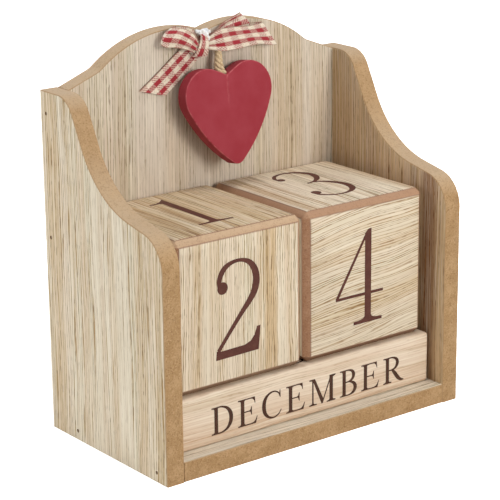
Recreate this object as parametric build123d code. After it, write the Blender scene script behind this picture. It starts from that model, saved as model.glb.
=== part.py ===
"""Perpetual desk calendar: a veneered case with two day cubes, three month bars and a hanging heart.

Millimetres. The origin is the centre of the case's footprint, on the surface it stands on.
+X is the reader's right, +Y points to the back panel and +Z is up.
"""

from build123d import *
from math import acos, degrees, hypot, radians, sqrt, tan
import os

# ---------------------------------------------------------------- driving dimensions

# Veneered board that the case is cut from
board = 6.6  # thickness over both veneers
veneer = 0.3  # thickness of one veneer
arris = 0.4  # sanded chamfer along every cut edge of a board

# Day cubes
cube = 50.0
cube_bevel = 1.9
cube_gap = 1.5  # between the two cubes
cube_side_clearance = 2.25  # between a cube and the side next to it

# Month bars
bar = 17.0  # square section
bar_bevel = 1.0
bar_end_clearance = 1.0  # at each end of a bar
bar_count = 3
row_clearance = 0.1  # behind each bar and behind the cubes

# Case
front_ledge = 6.1  # depth of base that shows in front of the first bar
arm_over_cubes = 2.4  # height of the arms' front corner over the cubes
arm_depth = 33.5  # front edge to the foot of the sweep
arm_rise = 6.4  # how far the arm climbs over that depth
sweep_depth = 15.2  # foot of the sweep to the shoulder, measured along the depth
shoulder_over_arm = 36.0  # shoulder height over the arms' front corner
arm_front_radius = 11.0
sweep_radius = 34.0
shoulder_radius = 8.5

# Back panel's crest of two humps
crest_over_shoulder = 14.6
hump_radius = 43.0
hump_offset = 13.5  # each hump's top, from the middle
hump_half_span = 27.8  # hump's top to the foot of its outer slope
hump_foot_radius = 8.0

# Brads that pin the sides
brad_diameter = 1.2
brad_length = 16.0
brad_clearance = 0.02  # between a brad and its hole, all round
brad_set = 0.3  # how far the head is punched under the veneer's face
base_brad_inset = 5.3  # front edge to the first base brad
base_brad_spacing = 43.7
back_brad_inset = 7.0  # shoulder's top down to the upper brad into the back panel
back_brad_spacing = 40.0

# Heart
heart_thickness = 4.5
heart_edge = 0.5  # sanded chamfer round the front and the back
lobe_radius = 9.0
lobe_offset = 8.5  # each lobe's centre, from the heart's middle line
heart_cleft_rise = 5.8  # from the lobes' centres up to the foot of the cleft
heart_point_drop = 24.4  # from the lobes' centres down to the point
heart_flank_radius = 51.0
heart_point_round = 3.1
heart_tilt = 2.6  # degrees in the heart's own plane, point towards +X
heart_lean = 8.2  # degrees, lobes towards the back panel
heart_offset = 3.4  # heart's middle line at the lobes' centres, from the case's middle
heart_below_crest = 22.2  # crest's top down to the lobes' centres
heart_off_panel = 5.4  # between the heart's middle plane at the lobes' centres and the back panel

# Twine that the heart hangs by
twine_diameter = 2.4
twine_bore_depth = 9.0  # how deep the twine is glued into the heart
twine_clearance = 0.1  # between the twine and its bore, all round
twine_straight = 2.5  # how far the twine stands straight out of the bore before it bends
twine_bend = 4.0
twine_under_bow = 0.4  # between the twine's end and the bow's lower edge
twine_off_knot = 4.4  # twine's end from the knot's middle, towards +X
twine_off_panel = 3.6  # twine's end from the back panel

# Gingham bow, one ribbon tied and glued to the back panel
ribbon_width = 7.0
ribbon = 0.5  # thickness
bow_offset = -2.4  # knot's middle, from the case's middle
bow_below_crest = 6.2
knot_width = 4.8
knot_height = 6.6
knot_depth = 4.3
knot_round = 1.8
knot_ease = 0.6  # chamfer round the knot's two ends
left_loop_length = 15.8
left_loop_depth = 3.6
left_loop_tilt = 15.0  # degrees over the horizontal
right_loop_length = 27.0
right_loop_depth = 2.8
right_loop_tilt = 0.5
loop_pinch = 0.15  # space left inside a loop where the knot pinches it, as a radius
left_tail_length = 21.7
left_tail_slope = -30.0  # degrees over the horizontal, outwards
left_tail_cut = -46.0  # degrees off square; below zero, the upper edge is the longer one
right_tail_length = 15.0
right_tail_slope = 20.0
right_tail_cut = 18.0
bow_off_panel = 0.2  # between the bow's back and the back panel
layer_clearance = 0.2  # between two pieces of ribbon that pass each other

# Hot-melt bead that holds the bow
bead_radius = 2.6
bead_height = 2.4  # how far it stands off the panel
bead_over_knot = 4.0  # bead's middle over the knot's middle

# ---------------------------------------------------------------- worked-out sizes and places

inner_width = 2 * cube + cube_gap + 2 * cube_side_clearance
case_width = inner_width + 2 * board
case_depth = front_ledge + bar_count * (bar + row_clearance) + board
front_y = -case_depth / 2
rear_y = case_depth / 2
panel_y = rear_y - board  # front face of the back panel
bar_bottom = board
cube_bottom = bar_bottom + bar
arm_height = cube_bottom + cube + arm_over_cubes
shoulder_height = arm_height + shoulder_over_arm
crest_height = shoulder_height + crest_over_shoulder
knot_x = bow_offset
knot_z = crest_height - bow_below_crest
bow_back = panel_y - bow_off_panel

EVERYWHERE = 1000.0


def between(solid, direction, start, end):
    """The part of a solid that lies from start to end along a direction."""
    normal = Vector(*direction)
    kept = split(solid, bisect_by=Plane(origin=normal * start, z_dir=normal), keep=Keep.TOP)
    return split(kept, bisect_by=Plane(origin=normal * end, z_dir=normal), keep=Keep.BOTTOM)


def rim(solid, axis):
    """The edges round the two faces that lie furthest apart along an axis."""
    faces = solid.faces().sort_by(axis)
    return faces[0].edges() + faces[-1].edges()


def layers(panel, direction, low):
    """A board as its three layers: the veneer at `low`, the core, and the veneer on the far face."""
    high = low + board
    return (
        between(panel, direction, low, low + veneer),
        between(panel, direction, low + veneer, high - veneer),
        between(panel, direction, high - veneer, high),
    )


# ---------------------------------------------------------------- brads and their holes


def brad_places():
    """(y, z) of each brad in a side: two into the base's edge and two into the back panel's."""
    first = front_y + base_brad_inset
    base_middle = board / 2
    back_middle = rear_y - board / 2
    upper = shoulder_height - back_brad_inset
    return (
        (first, base_middle),
        (first + base_brad_spacing, base_middle),
        (back_middle, upper - back_brad_spacing),
        (back_middle, upper),
    )


def pins(side, radius, depth_from, depth_to):
    """One cylinder per brad, driven in along X from the outer face of the side at `side` (-1 or 1)."""
    outer = side * case_width / 2
    length = depth_to - depth_from
    middle = outer - side * (depth_from + depth_to) / 2
    return [Pos(middle, y, z) * Rot(0, 90, 0) * Cylinder(radius, length) for y, z in brad_places()]


def brad_holes(side):
    """Holes from outside the veneer to the brads' points."""
    return pins(side, brad_diameter / 2 + brad_clearance, -1.0, brad_set + brad_length + brad_clearance)


def brads(side):
    return pins(side, brad_diameter / 2, brad_set, brad_set + brad_length)


# ---------------------------------------------------------------- case


def side_outline():
    """Side profile as (depth from the front edge, height): a low arm that sweeps up to the shoulder."""
    arm_end = (arm_depth, arm_height + arm_rise)
    shoulder = (arm_depth + sweep_depth, shoulder_height)
    top = FilletPolyline(
        (0, 0),
        (0, arm_height),
        arm_end,
        shoulder,
        (case_depth, shoulder_height),
        radius=[arm_front_radius, sweep_radius, shoulder_radius],
    )
    rest = Polyline((case_depth, shoulder_height), (case_depth, 0), (0, 0))
    return make_face(top.edges() + rest.edges())


def side_panel(side):
    """A whole side board, its inner face towards the case's middle, with the arrises eased."""
    profile = Plane(origin=(0, front_y, 0), x_dir=(0, 1, 0), z_dir=(1, 0, 0)) * side_outline()
    inner = side * inner_width / 2
    panel = Pos(inner if side > 0 else inner - board, 0, 0) * extrude(profile, amount=board)
    return chamfer(rim(panel, Axis.X), arris)


def back_outline():
    """Right half of the back panel's front view as (x, height): a sloping shoulder and one hump."""
    hump_z = crest_height - hump_radius
    foot_x = hump_offset + hump_half_span
    foot_z = hump_z + sqrt(hump_radius**2 - hump_half_span**2)
    cusp_z = hump_z + sqrt(hump_radius**2 - hump_offset**2)
    half = inner_width / 2
    hump = ThreePointArc((foot_x, foot_z), (hump_offset, crest_height), (0, cusp_z))
    rest = Polyline((0, cusp_z), (0, 0), (half, 0), (half, shoulder_height), (foot_x, foot_z))
    face = make_face(rest.edges() + hump.edges())
    foot = face.vertices().sort_by_distance((foot_x, foot_z, 0))[0]
    return fillet(foot, hump_foot_radius)


def back_panel():
    """The back board, between the sides and down to the surface the case stands on."""
    profile = Plane(origin=(0, rear_y, 0), x_dir=(1, 0, 0), z_dir=(0, -1, 0)) * back_outline()
    half = extrude(profile, amount=board)
    hump = rim(half, Axis.Y).filter_by(GeomType.CIRCLE)
    half = chamfer(hump, arris)
    return half + mirror(half, about=Plane.YZ)


def base_panel():
    """The bottom board, between the sides and in front of the back panel."""
    depth = case_depth - board
    panel = Pos(0, front_y + depth / 2, board / 2) * Box(inner_width, depth, board)
    front = panel.faces().sort_by(Axis.Y)[0].edges().filter_by(Axis.X)
    return chamfer(front, arris)


# ---------------------------------------------------------------- cubes and bars

FACES = {
    "left": (-1, 0, 0),
    "right": (1, 0, 0),
    "front": (0, -1, 0),
    "rear": (0, 1, 0),
    "bottom": (0, 0, -1),
    "top": (0, 0, 1),
}


def cube_layers():
    """A bevelled cube about the origin, as its core and the veneer on each of its six faces."""
    whole = chamfer(Box(cube, cube, cube).edges(), cube_bevel)
    half = cube / 2
    faces = {name: between(whole, direction, half - veneer, half) for name, direction in FACES.items()}
    core = whole
    for direction in FACES.values():
        core = between(core, direction, -EVERYWHERE, half - veneer)
    return core, faces


def month_bar():
    """A bevelled bar about the origin, lying along X."""
    length = inner_width - 2 * bar_end_clearance
    return chamfer(Box(length, bar, bar).edges(), bar_bevel)


# ---------------------------------------------------------------- heart and twine


def heart_outline():
    """Heart in its own plane, (0, 0) midway between the lobes' centres: lobes, flanks and an open cleft."""
    # The flank's arc touches the lobe from outside and ends at the point, which places its centre.
    reach = heart_flank_radius - lobe_radius
    to_point = hypot(lobe_offset, heart_point_drop)
    toward = Vector(-lobe_offset, -heart_point_drop) / to_point
    along = (reach**2 + to_point**2 - heart_flank_radius**2) / (2 * to_point)
    across = sqrt(reach**2 - along**2)
    lobe = Vector(lobe_offset, 0)
    centre = lobe + toward * along + Vector(toward.Y, -toward.X) * across
    joint = lobe + (lobe - centre).normalized() * lobe_radius
    point = Vector(0, -heart_point_drop)
    outer = (joint - lobe).normalized()
    # The cleft's side is straight and touches the lobe.
    cleft = Vector(0, heart_cleft_rise)
    to_cleft = cleft - lobe
    turn = degrees(acos(lobe_radius / to_cleft.length))
    touch = lobe + to_cleft.normalized().rotate(Axis.Z, -turn) * lobe_radius
    crown = ThreePointArc(touch, lobe + Vector(-outer.Y, outer.X) * lobe_radius, joint)
    middle = centre + ((joint + point) * 0.5 - centre).normalized() * heart_flank_radius
    flank = ThreePointArc(joint, middle, point)
    straight = [Edge.make_line(point, cleft), Edge.make_line(cleft, touch)]
    half = make_face(crown.edges() + flank.edges() + straight)
    whole = half + mirror(half, about=Plane.YZ)
    tip = whole.vertices().sort_by(Axis.Y)[0]
    return fillet(tip, heart_point_round)


heart_middle = Pos(heart_offset, panel_y - heart_off_panel, crest_height - heart_below_crest)
heart_place = heart_middle * Rot(-heart_lean, -heart_tilt, 0)
cleft_place = heart_place * Pos(0, 0, heart_cleft_rise)


def heart():
    """The heart, its edges eased front and back, with the bore that the twine is glued into."""
    profile = Plane(origin=(0, heart_thickness / 2, 0), x_dir=(1, 0, 0), z_dir=(0, -1, 0)) * heart_outline()
    body = extrude(profile, amount=heart_thickness)
    body = chamfer(rim(body, Axis.Y), heart_edge)
    reach = lobe_radius  # carries the cut out past the lobes' tops
    bore = Cylinder(twine_diameter / 2 + twine_clearance, twine_bore_depth + reach)
    return heart_place * body - cleft_place * Pos(0, 0, (reach - twine_bore_depth) / 2) * bore


def heart_twine():
    """The twine: straight out of its bore in the heart, then back and up to the bow's lower edge."""
    bottom = (cleft_place * Pos(0, 0, -twine_bore_depth)).position
    mouth = (cleft_place * Pos(0, 0, twine_straight)).position
    top = Vector(
        knot_x + twine_off_knot,
        panel_y - twine_off_panel,
        knot_z - ribbon_width / 2 - twine_under_bow,
    )
    route = FilletPolyline(bottom, mouth, top, radius=twine_bend)
    return sweep(Plane(origin=route @ 0, z_dir=route % 0) * Circle(twine_diameter / 2), path=route)


# ---------------------------------------------------------------- bow


def bow_knot():
    """The wrap of ribbon round the bow's middle: a rounded band, eased at its two ends."""
    band = extrude(RectangleRounded(knot_width, knot_depth, knot_round), amount=knot_height / 2, both=True)
    return Pos(knot_x, bow_back - knot_depth / 2, knot_z) * chamfer(rim(band, Axis.Z), knot_ease)


def at_knot(side, back, angle):
    """Place of a ribbon piece that leaves the knot's flank: `back` is the y of its rear face."""
    return Pos(knot_x + side * (knot_width / 2 + layer_clearance), back, knot_z) * Rot(0, -side * angle, 0)


def on_side(side, piece):
    """A piece drawn towards +X, turned over for the left side."""
    return piece if side > 0 else mirror(piece, about=Plane.YZ)


def loop(side, length, depth, tilt, back):
    """One loop: the ribbon bent out to its fold and back, tight at the knot and open at the fold."""
    fold = depth / 2
    pinch = ribbon + loop_pinch

    def outline(inset):
        near = Pos(pinch, -fold) * Circle(pinch - inset)
        far = Pos(length - fold, -fold) * Circle(fold - inset)
        return make_hull((near + far).edges())

    strip = extrude(outline(0) - outline(ribbon), amount=ribbon_width / 2, both=True)
    return at_knot(side, back, tilt) * on_side(side, strip)


def tail(side, length, slope, cut, back):
    """One loose end: a flat strip that leaves the knot at a slope and is cut off at an angle."""
    half = ribbon_width / 2
    slant = half * tan(radians(cut))
    outline = Polyline((0, -half), (length + slant, -half), (length - slant, half), (0, half), close=True)
    profile = Plane(origin=(0, 0, 0), x_dir=(1, 0, 0), z_dir=(0, -1, 0)) * make_face(outline.edges())
    return at_knot(side, back, slope) * on_side(side, extrude(profile, amount=ribbon))


def glue_bead():
    """A cap of hot-melt glue over the knot, flat against the panel."""
    ball = (bead_radius**2 + bead_height**2) / (2 * bead_height)
    cap = between(Sphere(ball), (0, -1, 0), ball - bead_height, ball)
    return Pos(knot_x, panel_y + ball - bead_height, knot_z + bead_over_knot) * cap


# ---------------------------------------------------------------- the whole calendar


def build():
    """Every piece of the calendar, by name."""
    pieces = {}

    for name, side in (("left", -1), ("right", 1)):
        low = -case_width / 2 if side < 0 else inner_width / 2
        panel = side_panel(side) - brad_holes(side)
        lower, core, upper = layers(panel, (1, 0, 0), low)
        outer, inner = (lower, upper) if side < 0 else (upper, lower)
        pieces[f"{name}_side_core"] = core
        pieces[f"{name}_side_outer_veneer"] = outer
        pieces[f"{name}_side_inner_veneer"] = inner
        pieces[f"{name}_side_brads"] = Compound(brads(side))

    holes = brad_holes(-1) + brad_holes(1)
    front, core, rear = layers(back_panel() - holes, (0, 1, 0), panel_y)
    pieces["back_panel_front_veneer"] = front
    pieces["back_panel_core"] = core
    pieces["back_panel_rear_veneer"] = rear

    bottom, core, top = layers(base_panel() - holes, (0, 0, 1), 0)
    pieces["base_bottom_veneer"] = bottom
    pieces["base_core"] = core
    pieces["base_top_veneer"] = top

    core, faces = cube_layers()
    cube_y = panel_y - row_clearance - cube / 2
    for name, side in (("left", -1), ("right", 1)):
        place = Pos(side * (cube + cube_gap) / 2, cube_y, cube_bottom + cube / 2)
        pieces[f"{name}_cube_core"] = place * core
        for face, skin in faces.items():
            pieces[f"{name}_cube_{face}_veneer"] = place * skin

    for index, name in enumerate(("rear", "middle", "front")):
        bar_y = panel_y - (index + 1) * (bar + row_clearance) + bar / 2
        pieces[f"{name}_month_bar"] = Pos(0, bar_y, bar_bottom + bar / 2) * month_bar()

    pieces["heart"] = heart()
    pieces["heart_twine"] = heart_twine()

    knot = bow_knot()
    loop_back = bow_back - ribbon - layer_clearance
    ribbons = {
        "bow_left_loop": loop(-1, left_loop_length, left_loop_depth, left_loop_tilt, loop_back),
        "bow_right_loop": loop(1, right_loop_length, right_loop_depth, right_loop_tilt, loop_back),
        "bow_left_tail": tail(-1, left_tail_length, left_tail_slope, left_tail_cut, bow_back),
        "bow_right_tail": tail(1, right_tail_length, right_tail_slope, right_tail_cut, bow_back),
    }
    bead = glue_bead() - knot
    for name, piece in ribbons.items():
        pieces[name] = piece - knot
        bead = bead - piece
    pieces["bow_knot"] = knot
    pieces["glue_bead"] = bead
    return pieces


os.makedirs("parts", exist_ok=True)
for node, piece in build().items():
    export_step(piece, f"parts/{node}.step")
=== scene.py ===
# %% [markdown]
# # A perpetual desk calendar in Blender
#
# The real object is a small open case of veneered fibreboard. Two day cubes stand on three month bars, and a
# painted heart hangs by twine from a gingham bow that is glued to the back. The construction model gives every
# piece its place and the joints that move it. This lesson dresses that frame: it remakes the boards, cubes and
# bars with smooth, softened edges, prints the numerals and the months, ties the bow, twists the twine and gives
# each surface the finish that the real material has.

# %% Load the fixed frame
from math import acos, atan2, ceil, cos, hypot, pi, radians, sin, sqrt, tan

import bmesh
import bpy
from mathutils import Matrix, Vector, noise
from mathutils.geometry import delaunay_2d_cdt


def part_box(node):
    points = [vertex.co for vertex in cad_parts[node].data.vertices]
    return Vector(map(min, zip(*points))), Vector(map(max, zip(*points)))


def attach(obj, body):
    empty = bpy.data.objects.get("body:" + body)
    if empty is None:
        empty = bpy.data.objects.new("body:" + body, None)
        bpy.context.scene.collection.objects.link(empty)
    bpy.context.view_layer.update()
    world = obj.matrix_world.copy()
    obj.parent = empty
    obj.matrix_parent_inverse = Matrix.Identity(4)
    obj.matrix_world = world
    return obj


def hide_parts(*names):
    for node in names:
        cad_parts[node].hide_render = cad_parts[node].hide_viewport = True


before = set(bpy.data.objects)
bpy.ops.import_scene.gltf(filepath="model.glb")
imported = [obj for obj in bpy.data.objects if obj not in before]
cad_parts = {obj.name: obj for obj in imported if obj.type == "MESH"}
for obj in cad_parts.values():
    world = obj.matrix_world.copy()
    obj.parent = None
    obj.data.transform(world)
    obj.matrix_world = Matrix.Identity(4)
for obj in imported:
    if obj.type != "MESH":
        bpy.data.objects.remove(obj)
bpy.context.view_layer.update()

MM = 0.001  # the frame is in metres, and a maker thinks in millimetres

# %% [markdown]
# ## Places and sizes
#
# The frame can be measured, so nothing here is placed by eye. The case stands with the middle of its footprint
# at the origin, the back panel towards +Y. Each size below is either read from a node's box or is a cut that the
# boxes don't show, such as the radius of a sweep.

# %% Sizes of the case, in millimetres


def span(node, axis):
    """Lowest and highest coordinate of a frame node along an axis, in millimetres."""
    low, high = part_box(node)
    return low[axis] / MM, high[axis] / MM


X, Y, Z = 0, 1, 2
case_left, left_inner = span("left_side_outer_veneer", X)[0], span("left_side_inner_veneer", X)[1]
right_inner, case_right = span("right_side_inner_veneer", X)[0], span("right_side_outer_veneer", X)[1]
front_y, rear_y = span("left_side_core", Y)
panel_y = span("back_panel_front_veneer", Y)[0]
shoulder_height = span("left_side_core", Z)[1]
crest_height = span("back_panel_core", Z)[1]
board = rear_y - panel_y
veneer = 0.3  # thickness of one sheet of veneer
arris = 0.45  # radius that sandpaper gives every cut edge
case_depth = rear_y - front_y
print("case", round(case_right - case_left, 1), "x", round(case_depth, 1), "x", round(crest_height, 1), "mm")

# %% [markdown]
# ## Colours, nodes and objects
#
# A hex colour is written in sRGB, the way a screen shows it, while shaders work in linear light, so each colour
# passes through one conversion. A node tree is easier to read when adding a node takes one line, so one function
# adds a node, applies its settings and makes its links. Two more helpers put data into the scene and turn what
# an object's modifiers make of it into a plain mesh.

# %% Colour, node and object helpers


def colour(code):
    """Linear RGBA of an sRGB hex colour."""
    channels = [int(code[i : i + 2], 16) / 255 for i in (1, 3, 5)]
    return [c / 12.92 if c <= 0.04045 else ((c + 0.055) / 1.055) ** 2.4 for c in channels] + [1.0]


def add_node(tree, kind, inputs=None, **settings):
    """Adds a node, sets it, and gives each input a value or a link from another node's output."""
    node = tree.nodes.new(kind)
    for name, value in settings.items():
        setattr(node, name, value)
    for key, value in (inputs or {}).items():
        if isinstance(value, bpy.types.NodeSocket):
            tree.links.new(value, node.inputs[key])
        else:
            node.inputs[key].default_value = value
    return node


def new_material(name):
    """An empty node material, with its tree and its output node."""
    material = bpy.data.materials.new(name)
    material.use_nodes = True
    material.node_tree.nodes.clear()
    return material, material.node_tree, add_node(material.node_tree, "ShaderNodeOutputMaterial")


def new_object(name, data):
    """An object for some data, linked to the scene."""
    item = bpy.data.objects.new(name, data)
    bpy.context.scene.collection.objects.link(item)
    return item


def plain_mesh(item):
    """A new mesh with everything that an object's modifiers do to it."""
    bpy.context.view_layer.update()
    return bpy.data.meshes.new_from_object(item.evaluated_get(bpy.context.evaluated_depsgraph_get()))


print("#808080 is", round(colour("#808080")[0], 3), "in linear light")

# %% [markdown]
# ## Camera
#
# A long lens from the left and a little above keeps the case's verticals nearly parallel. The camera is set by
# its bearing, height angle, distance and target. It is rolled by half a degree, because a product shot taken by
# hand is never dead level.

# %% The camera
bearing, height_angle, roll = radians(-37.485), radians(16.759), radians(-0.606)
target = Vector((0, 3.428, 55.338)) * MM  # the point in the middle of the view
distance = 646.1 * MM
FOCAL_LENGTH, SENSOR_WIDTH = 143.38, 36  # millimetres, as on a full-frame camera

back = Vector((sin(bearing) * cos(height_angle), -cos(bearing) * cos(height_angle), sin(height_angle)))
level = Vector((cos(bearing), sin(bearing), 0))
rise = back.cross(level)
right = level * cos(roll) + rise * sin(roll)
up = rise * cos(roll) - level * sin(roll)

lens = bpy.data.cameras.new("camera")
lens.lens, lens.sensor_width = FOCAL_LENGTH, SENSOR_WIDTH
camera = new_object("camera", lens)
camera.matrix_world = Matrix.Translation(target + back * distance) @ Matrix((right, up, back)).transposed().to_4x4()
bpy.context.scene.camera = camera
print("camera at", [round(v, 3) for v in camera.matrix_world.translation])

# %% [markdown]
# ## Light, world and floor
#
# The object is lit as in a white studio tent. The key lamp stands low in front, a little to the right, so the
# fronts of the cubes are bright and the heart throws a short shadow on the panel. A broad lamp low on the left
# lights the side, one above lights the tops and sweeps, and one behind serves the other views. The world adds
# weak light from all round. Rays from the camera, and what glue and steel mirror, see plain white instead, so the
# backdrop is white without more light on the object. The floor is a pale diffuse sheet that glows for camera rays
# only.

# %% Lamps, world and floor
bpy.context.scene.view_settings.view_transform = "Standard"


def lamp(name, toward, away, size, power, tint="#FFFFFF"):
    """A square area lamp that looks at the middle of the object from a direction; metres and watts."""
    light = bpy.data.lights.new(name, "AREA")
    light.size, light.energy, light.color = size, power, colour(tint)[:3]
    holder = new_object(name, light)
    middle = Vector((0, 0, 0.06))
    holder.location = middle + Vector(toward).normalized() * away
    holder.rotation_euler = Vector(toward).to_track_quat("Z", "Y").to_euler()


lamp("key", (0.22, -1.0, 0.34), 0.9, 0.36, 4.45, "#FFFBF4")
lamp("left", (-1.0, 0.28, 0.14), 0.9, 0.5, 4.7, "#FBFCFF")
lamp("top", (0.05, -0.20, 1.0), 0.9, 0.6, 3.7)
lamp("rear", (0.35, 1.0, 0.6), 1.2, 0.9, 3.0)

world = bpy.data.worlds.new("studio")
bpy.context.scene.world = world
world.use_nodes = True
tree = world.node_tree
tree.nodes.clear()
ray = add_node(tree, "ShaderNodeLightPath").outputs
ambient = add_node(tree, "ShaderNodeBackground", {"Color": colour("#FFFFFF"), "Strength": 0.18})
backdrop = add_node(tree, "ShaderNodeBackground", {"Color": colour("#FFFFFF"), "Strength": 1.0})
shown = add_node(tree, "ShaderNodeMath", {0: ray["Is Camera Ray"], 1: ray["Is Glossy Ray"]}, operation="MAXIMUM")
shown = add_node(tree, "ShaderNodeMath", {0: shown.outputs[0], 1: ray["Is Transmission Ray"]}, operation="MAXIMUM")
both = add_node(tree, "ShaderNodeMixShader", {0: shown.outputs[0], 1: ambient.outputs[0], 2: backdrop.outputs[0]})
add_node(tree, "ShaderNodeOutputWorld", {"Surface": both.outputs[0]})

paper, tree, surface = new_material("white paper sweep")
ray = add_node(tree, "ShaderNodeLightPath").outputs
sheet = add_node(tree, "ShaderNodeBsdfDiffuse", {"Color": colour("#F4F4F4")})
glow = add_node(tree, "ShaderNodeEmission", {"Color": colour("#FFFFFF"), "Strength": ray["Is Camera Ray"]})
glowing_sheet = add_node(tree, "ShaderNodeAddShader", {0: sheet.outputs[0], 1: glow.outputs[0]})
tree.links.new(glowing_sheet.outputs[0], surface.inputs["Surface"])

FLOOR_REACH = 4.0  # metres from the middle to each edge
floor_mesh = bpy.data.meshes.new("floor")
floor_mesh.from_pydata([(x * FLOOR_REACH, y * FLOOR_REACH, 0) for x, y in ((-1, -1), (1, -1), (1, 1), (-1, 1))], [],
                       [(0, 1, 2, 3)])
floor_mesh.materials.append(paper)
floor = new_object("floor", floor_mesh)
floor.location.z = -0.02 * MM  # just under the base, so that the two faces never share a plane
print("floor, world and", len(bpy.data.lights), "lamps")

# %% [markdown]
# ## Finish: paulownia veneer
# Inside the sides, the dark band near the front is painted shade instead: the shadow that falls on the wall beside a
# cube.
#
# The boards and cubes are skinned with paulownia, a pale open-pored wood that is sliced, sanded and left bare.
# The eye reads several scales at once: broad tan, rosy and greenish bands of growth, the year rings as fine lines
# less than a millimetre apart, and short dark pores along those lines. All of them run along the grain, so one
# coordinate is stretched far more than the other before it meets the noise, and a slow wander bends every scale
# together, as it does in a real tree. Each face gets its own bands, because each sheet was cut from another place.
# Where the sheet is cut through, at an edge or a bevel, it shows the darker colour of the board.

# %% The run of the grain and its masks


def grain_coordinates(tree, across, along, centre, lean, wander, ripple, seed):
    """Object coordinates in millimetres as (across the grain, along the grain, seed), bent as the tree grew."""
    place = add_node(tree, "ShaderNodeTexCoord").outputs["Object"]
    place = add_node(tree, "ShaderNodeVectorMath", {0: place, "Scale": 1 / MM}, operation="SCALE").outputs[0]
    axis = add_node(tree, "ShaderNodeSeparateXYZ", {0: place}).outputs
    flat = add_node(tree, "ShaderNodeCombineXYZ", {0: axis[across], 1: axis[along], 2: 0.0}).outputs[0]
    flat = add_node(tree, "ShaderNodeVectorRotate", {"Vector": flat, "Center": (*centre, 0), "Angle": radians(lean)},
                    rotation_type="Z_AXIS").outputs[0]
    bent = add_node(tree, "ShaderNodeSeparateXYZ", {0: flat}).outputs
    shift = bent[0]
    for (amount, width, length), offset in ((wander, 11.3), (ripple, 47.9)):
        stretched = add_node(tree, "ShaderNodeMapping", {
            "Vector": flat, "Location": (offset, seed, seed), "Scale": (1 / width, 1 / length, 1)}).outputs[0]
        wave = add_node(tree, "ShaderNodeTexNoise", {"Vector": stretched, "Scale": 1.0, "Detail": 1.0}).outputs[0]
        shift = add_node(tree, "ShaderNodeMath", {0: wave, 1: 2 * amount, 2: shift},
                         operation="MULTIPLY_ADD").outputs[0]
    return add_node(tree, "ShaderNodeCombineXYZ", {0: shift, 1: bent[1], 2: seed}).outputs[0]


def along_the_grain(tree, grain, width, length, low, high, detail):
    """A mask from 0 to 1 of streaks about `width` by `length` millimetres; it rises between two noise levels."""
    stretched = add_node(tree, "ShaderNodeMapping", {"Vector": grain, "Scale": (1 / width, 1 / length, 1)}).outputs[0]
    streak = add_node(tree, "ShaderNodeTexNoise", {"Vector": stretched, "Scale": 1.0, "Detail": detail,
                                                   "Roughness": 0.55}).outputs[0]
    return add_node(tree, "ShaderNodeMapRange", {0: streak, 1: low, 2: high},
                    interpolation_type="SMOOTHSTEP").outputs[0]


def patches(tree, place, size, low, high, detail=2.0, **settings):
    """A mask from 0 to 1 of patches, `size` in the units of `place`; it rises between two noise levels."""
    cloud = add_node(tree, "ShaderNodeTexNoise", {"Vector": place, "Scale": 1 / size, "Detail": detail}).outputs[0]
    return add_node(tree, "ShaderNodeMapRange", {0: cloud, 1: low, 2: high}, **settings).outputs[0]


def shade_over(tree, under, over, mask, amount=1.0):
    """Lays one colour over another where a mask is white."""
    part = add_node(tree, "ShaderNodeMath", {0: mask, 1: amount}, operation="MULTIPLY").outputs[0]
    mix = add_node(tree, "ShaderNodeMix", {0: part}, data_type="RGBA")
    for socket, value in ((mix.inputs[6], under), (mix.inputs[7], over)):
        if isinstance(value, bpy.types.NodeSocket):
            tree.links.new(value, socket)
        else:
            socket.default_value = colour(value)
    return mix.outputs[2]


# Each mask of the wood: width and length of its streaks in millimetres, its two noise levels, and the detail.
FIGURE = {
    "growth": (9, 420, 0.50, 0.74, 2.0),  # broad bands of tan
    "rosy": (7, 260, 0.45, 0.60, 2.0),
    "green": (5, 210, 0.50, 0.66, 3.0),
    "lanes": (5, 180, 0.40, 0.60, 2.0),  # where the year rings stand out
    "soft": (1.5, 160, 0.50, 0.72, 2.0),  # soft darker streaks
    "light": (0.7, 30, 0.50, 0.66, 1.0),  # pale fibres
    "broken": (0.7, 11, 0.38, 0.58, 2.0),  # where a ring fades for a few millimetres
    "pores": (0.7, 3.5, 0.50, 0.62, 1.0),
    "marks": (0.8, 50, 0.66, 0.74, 0.0),  # a few long dark marks
    "sway": (1.8, 70, 0.20, 0.80, 1.0),  # bends the rings a little more
}
print(len(FIGURE), "masks make the figure of the wood")

# %% The veneer material
ROSY, GREEN, CREAM = "#DDCAB5", "#CBC6AC", "#F6EEDD"  # tints that every sheet shares


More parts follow.
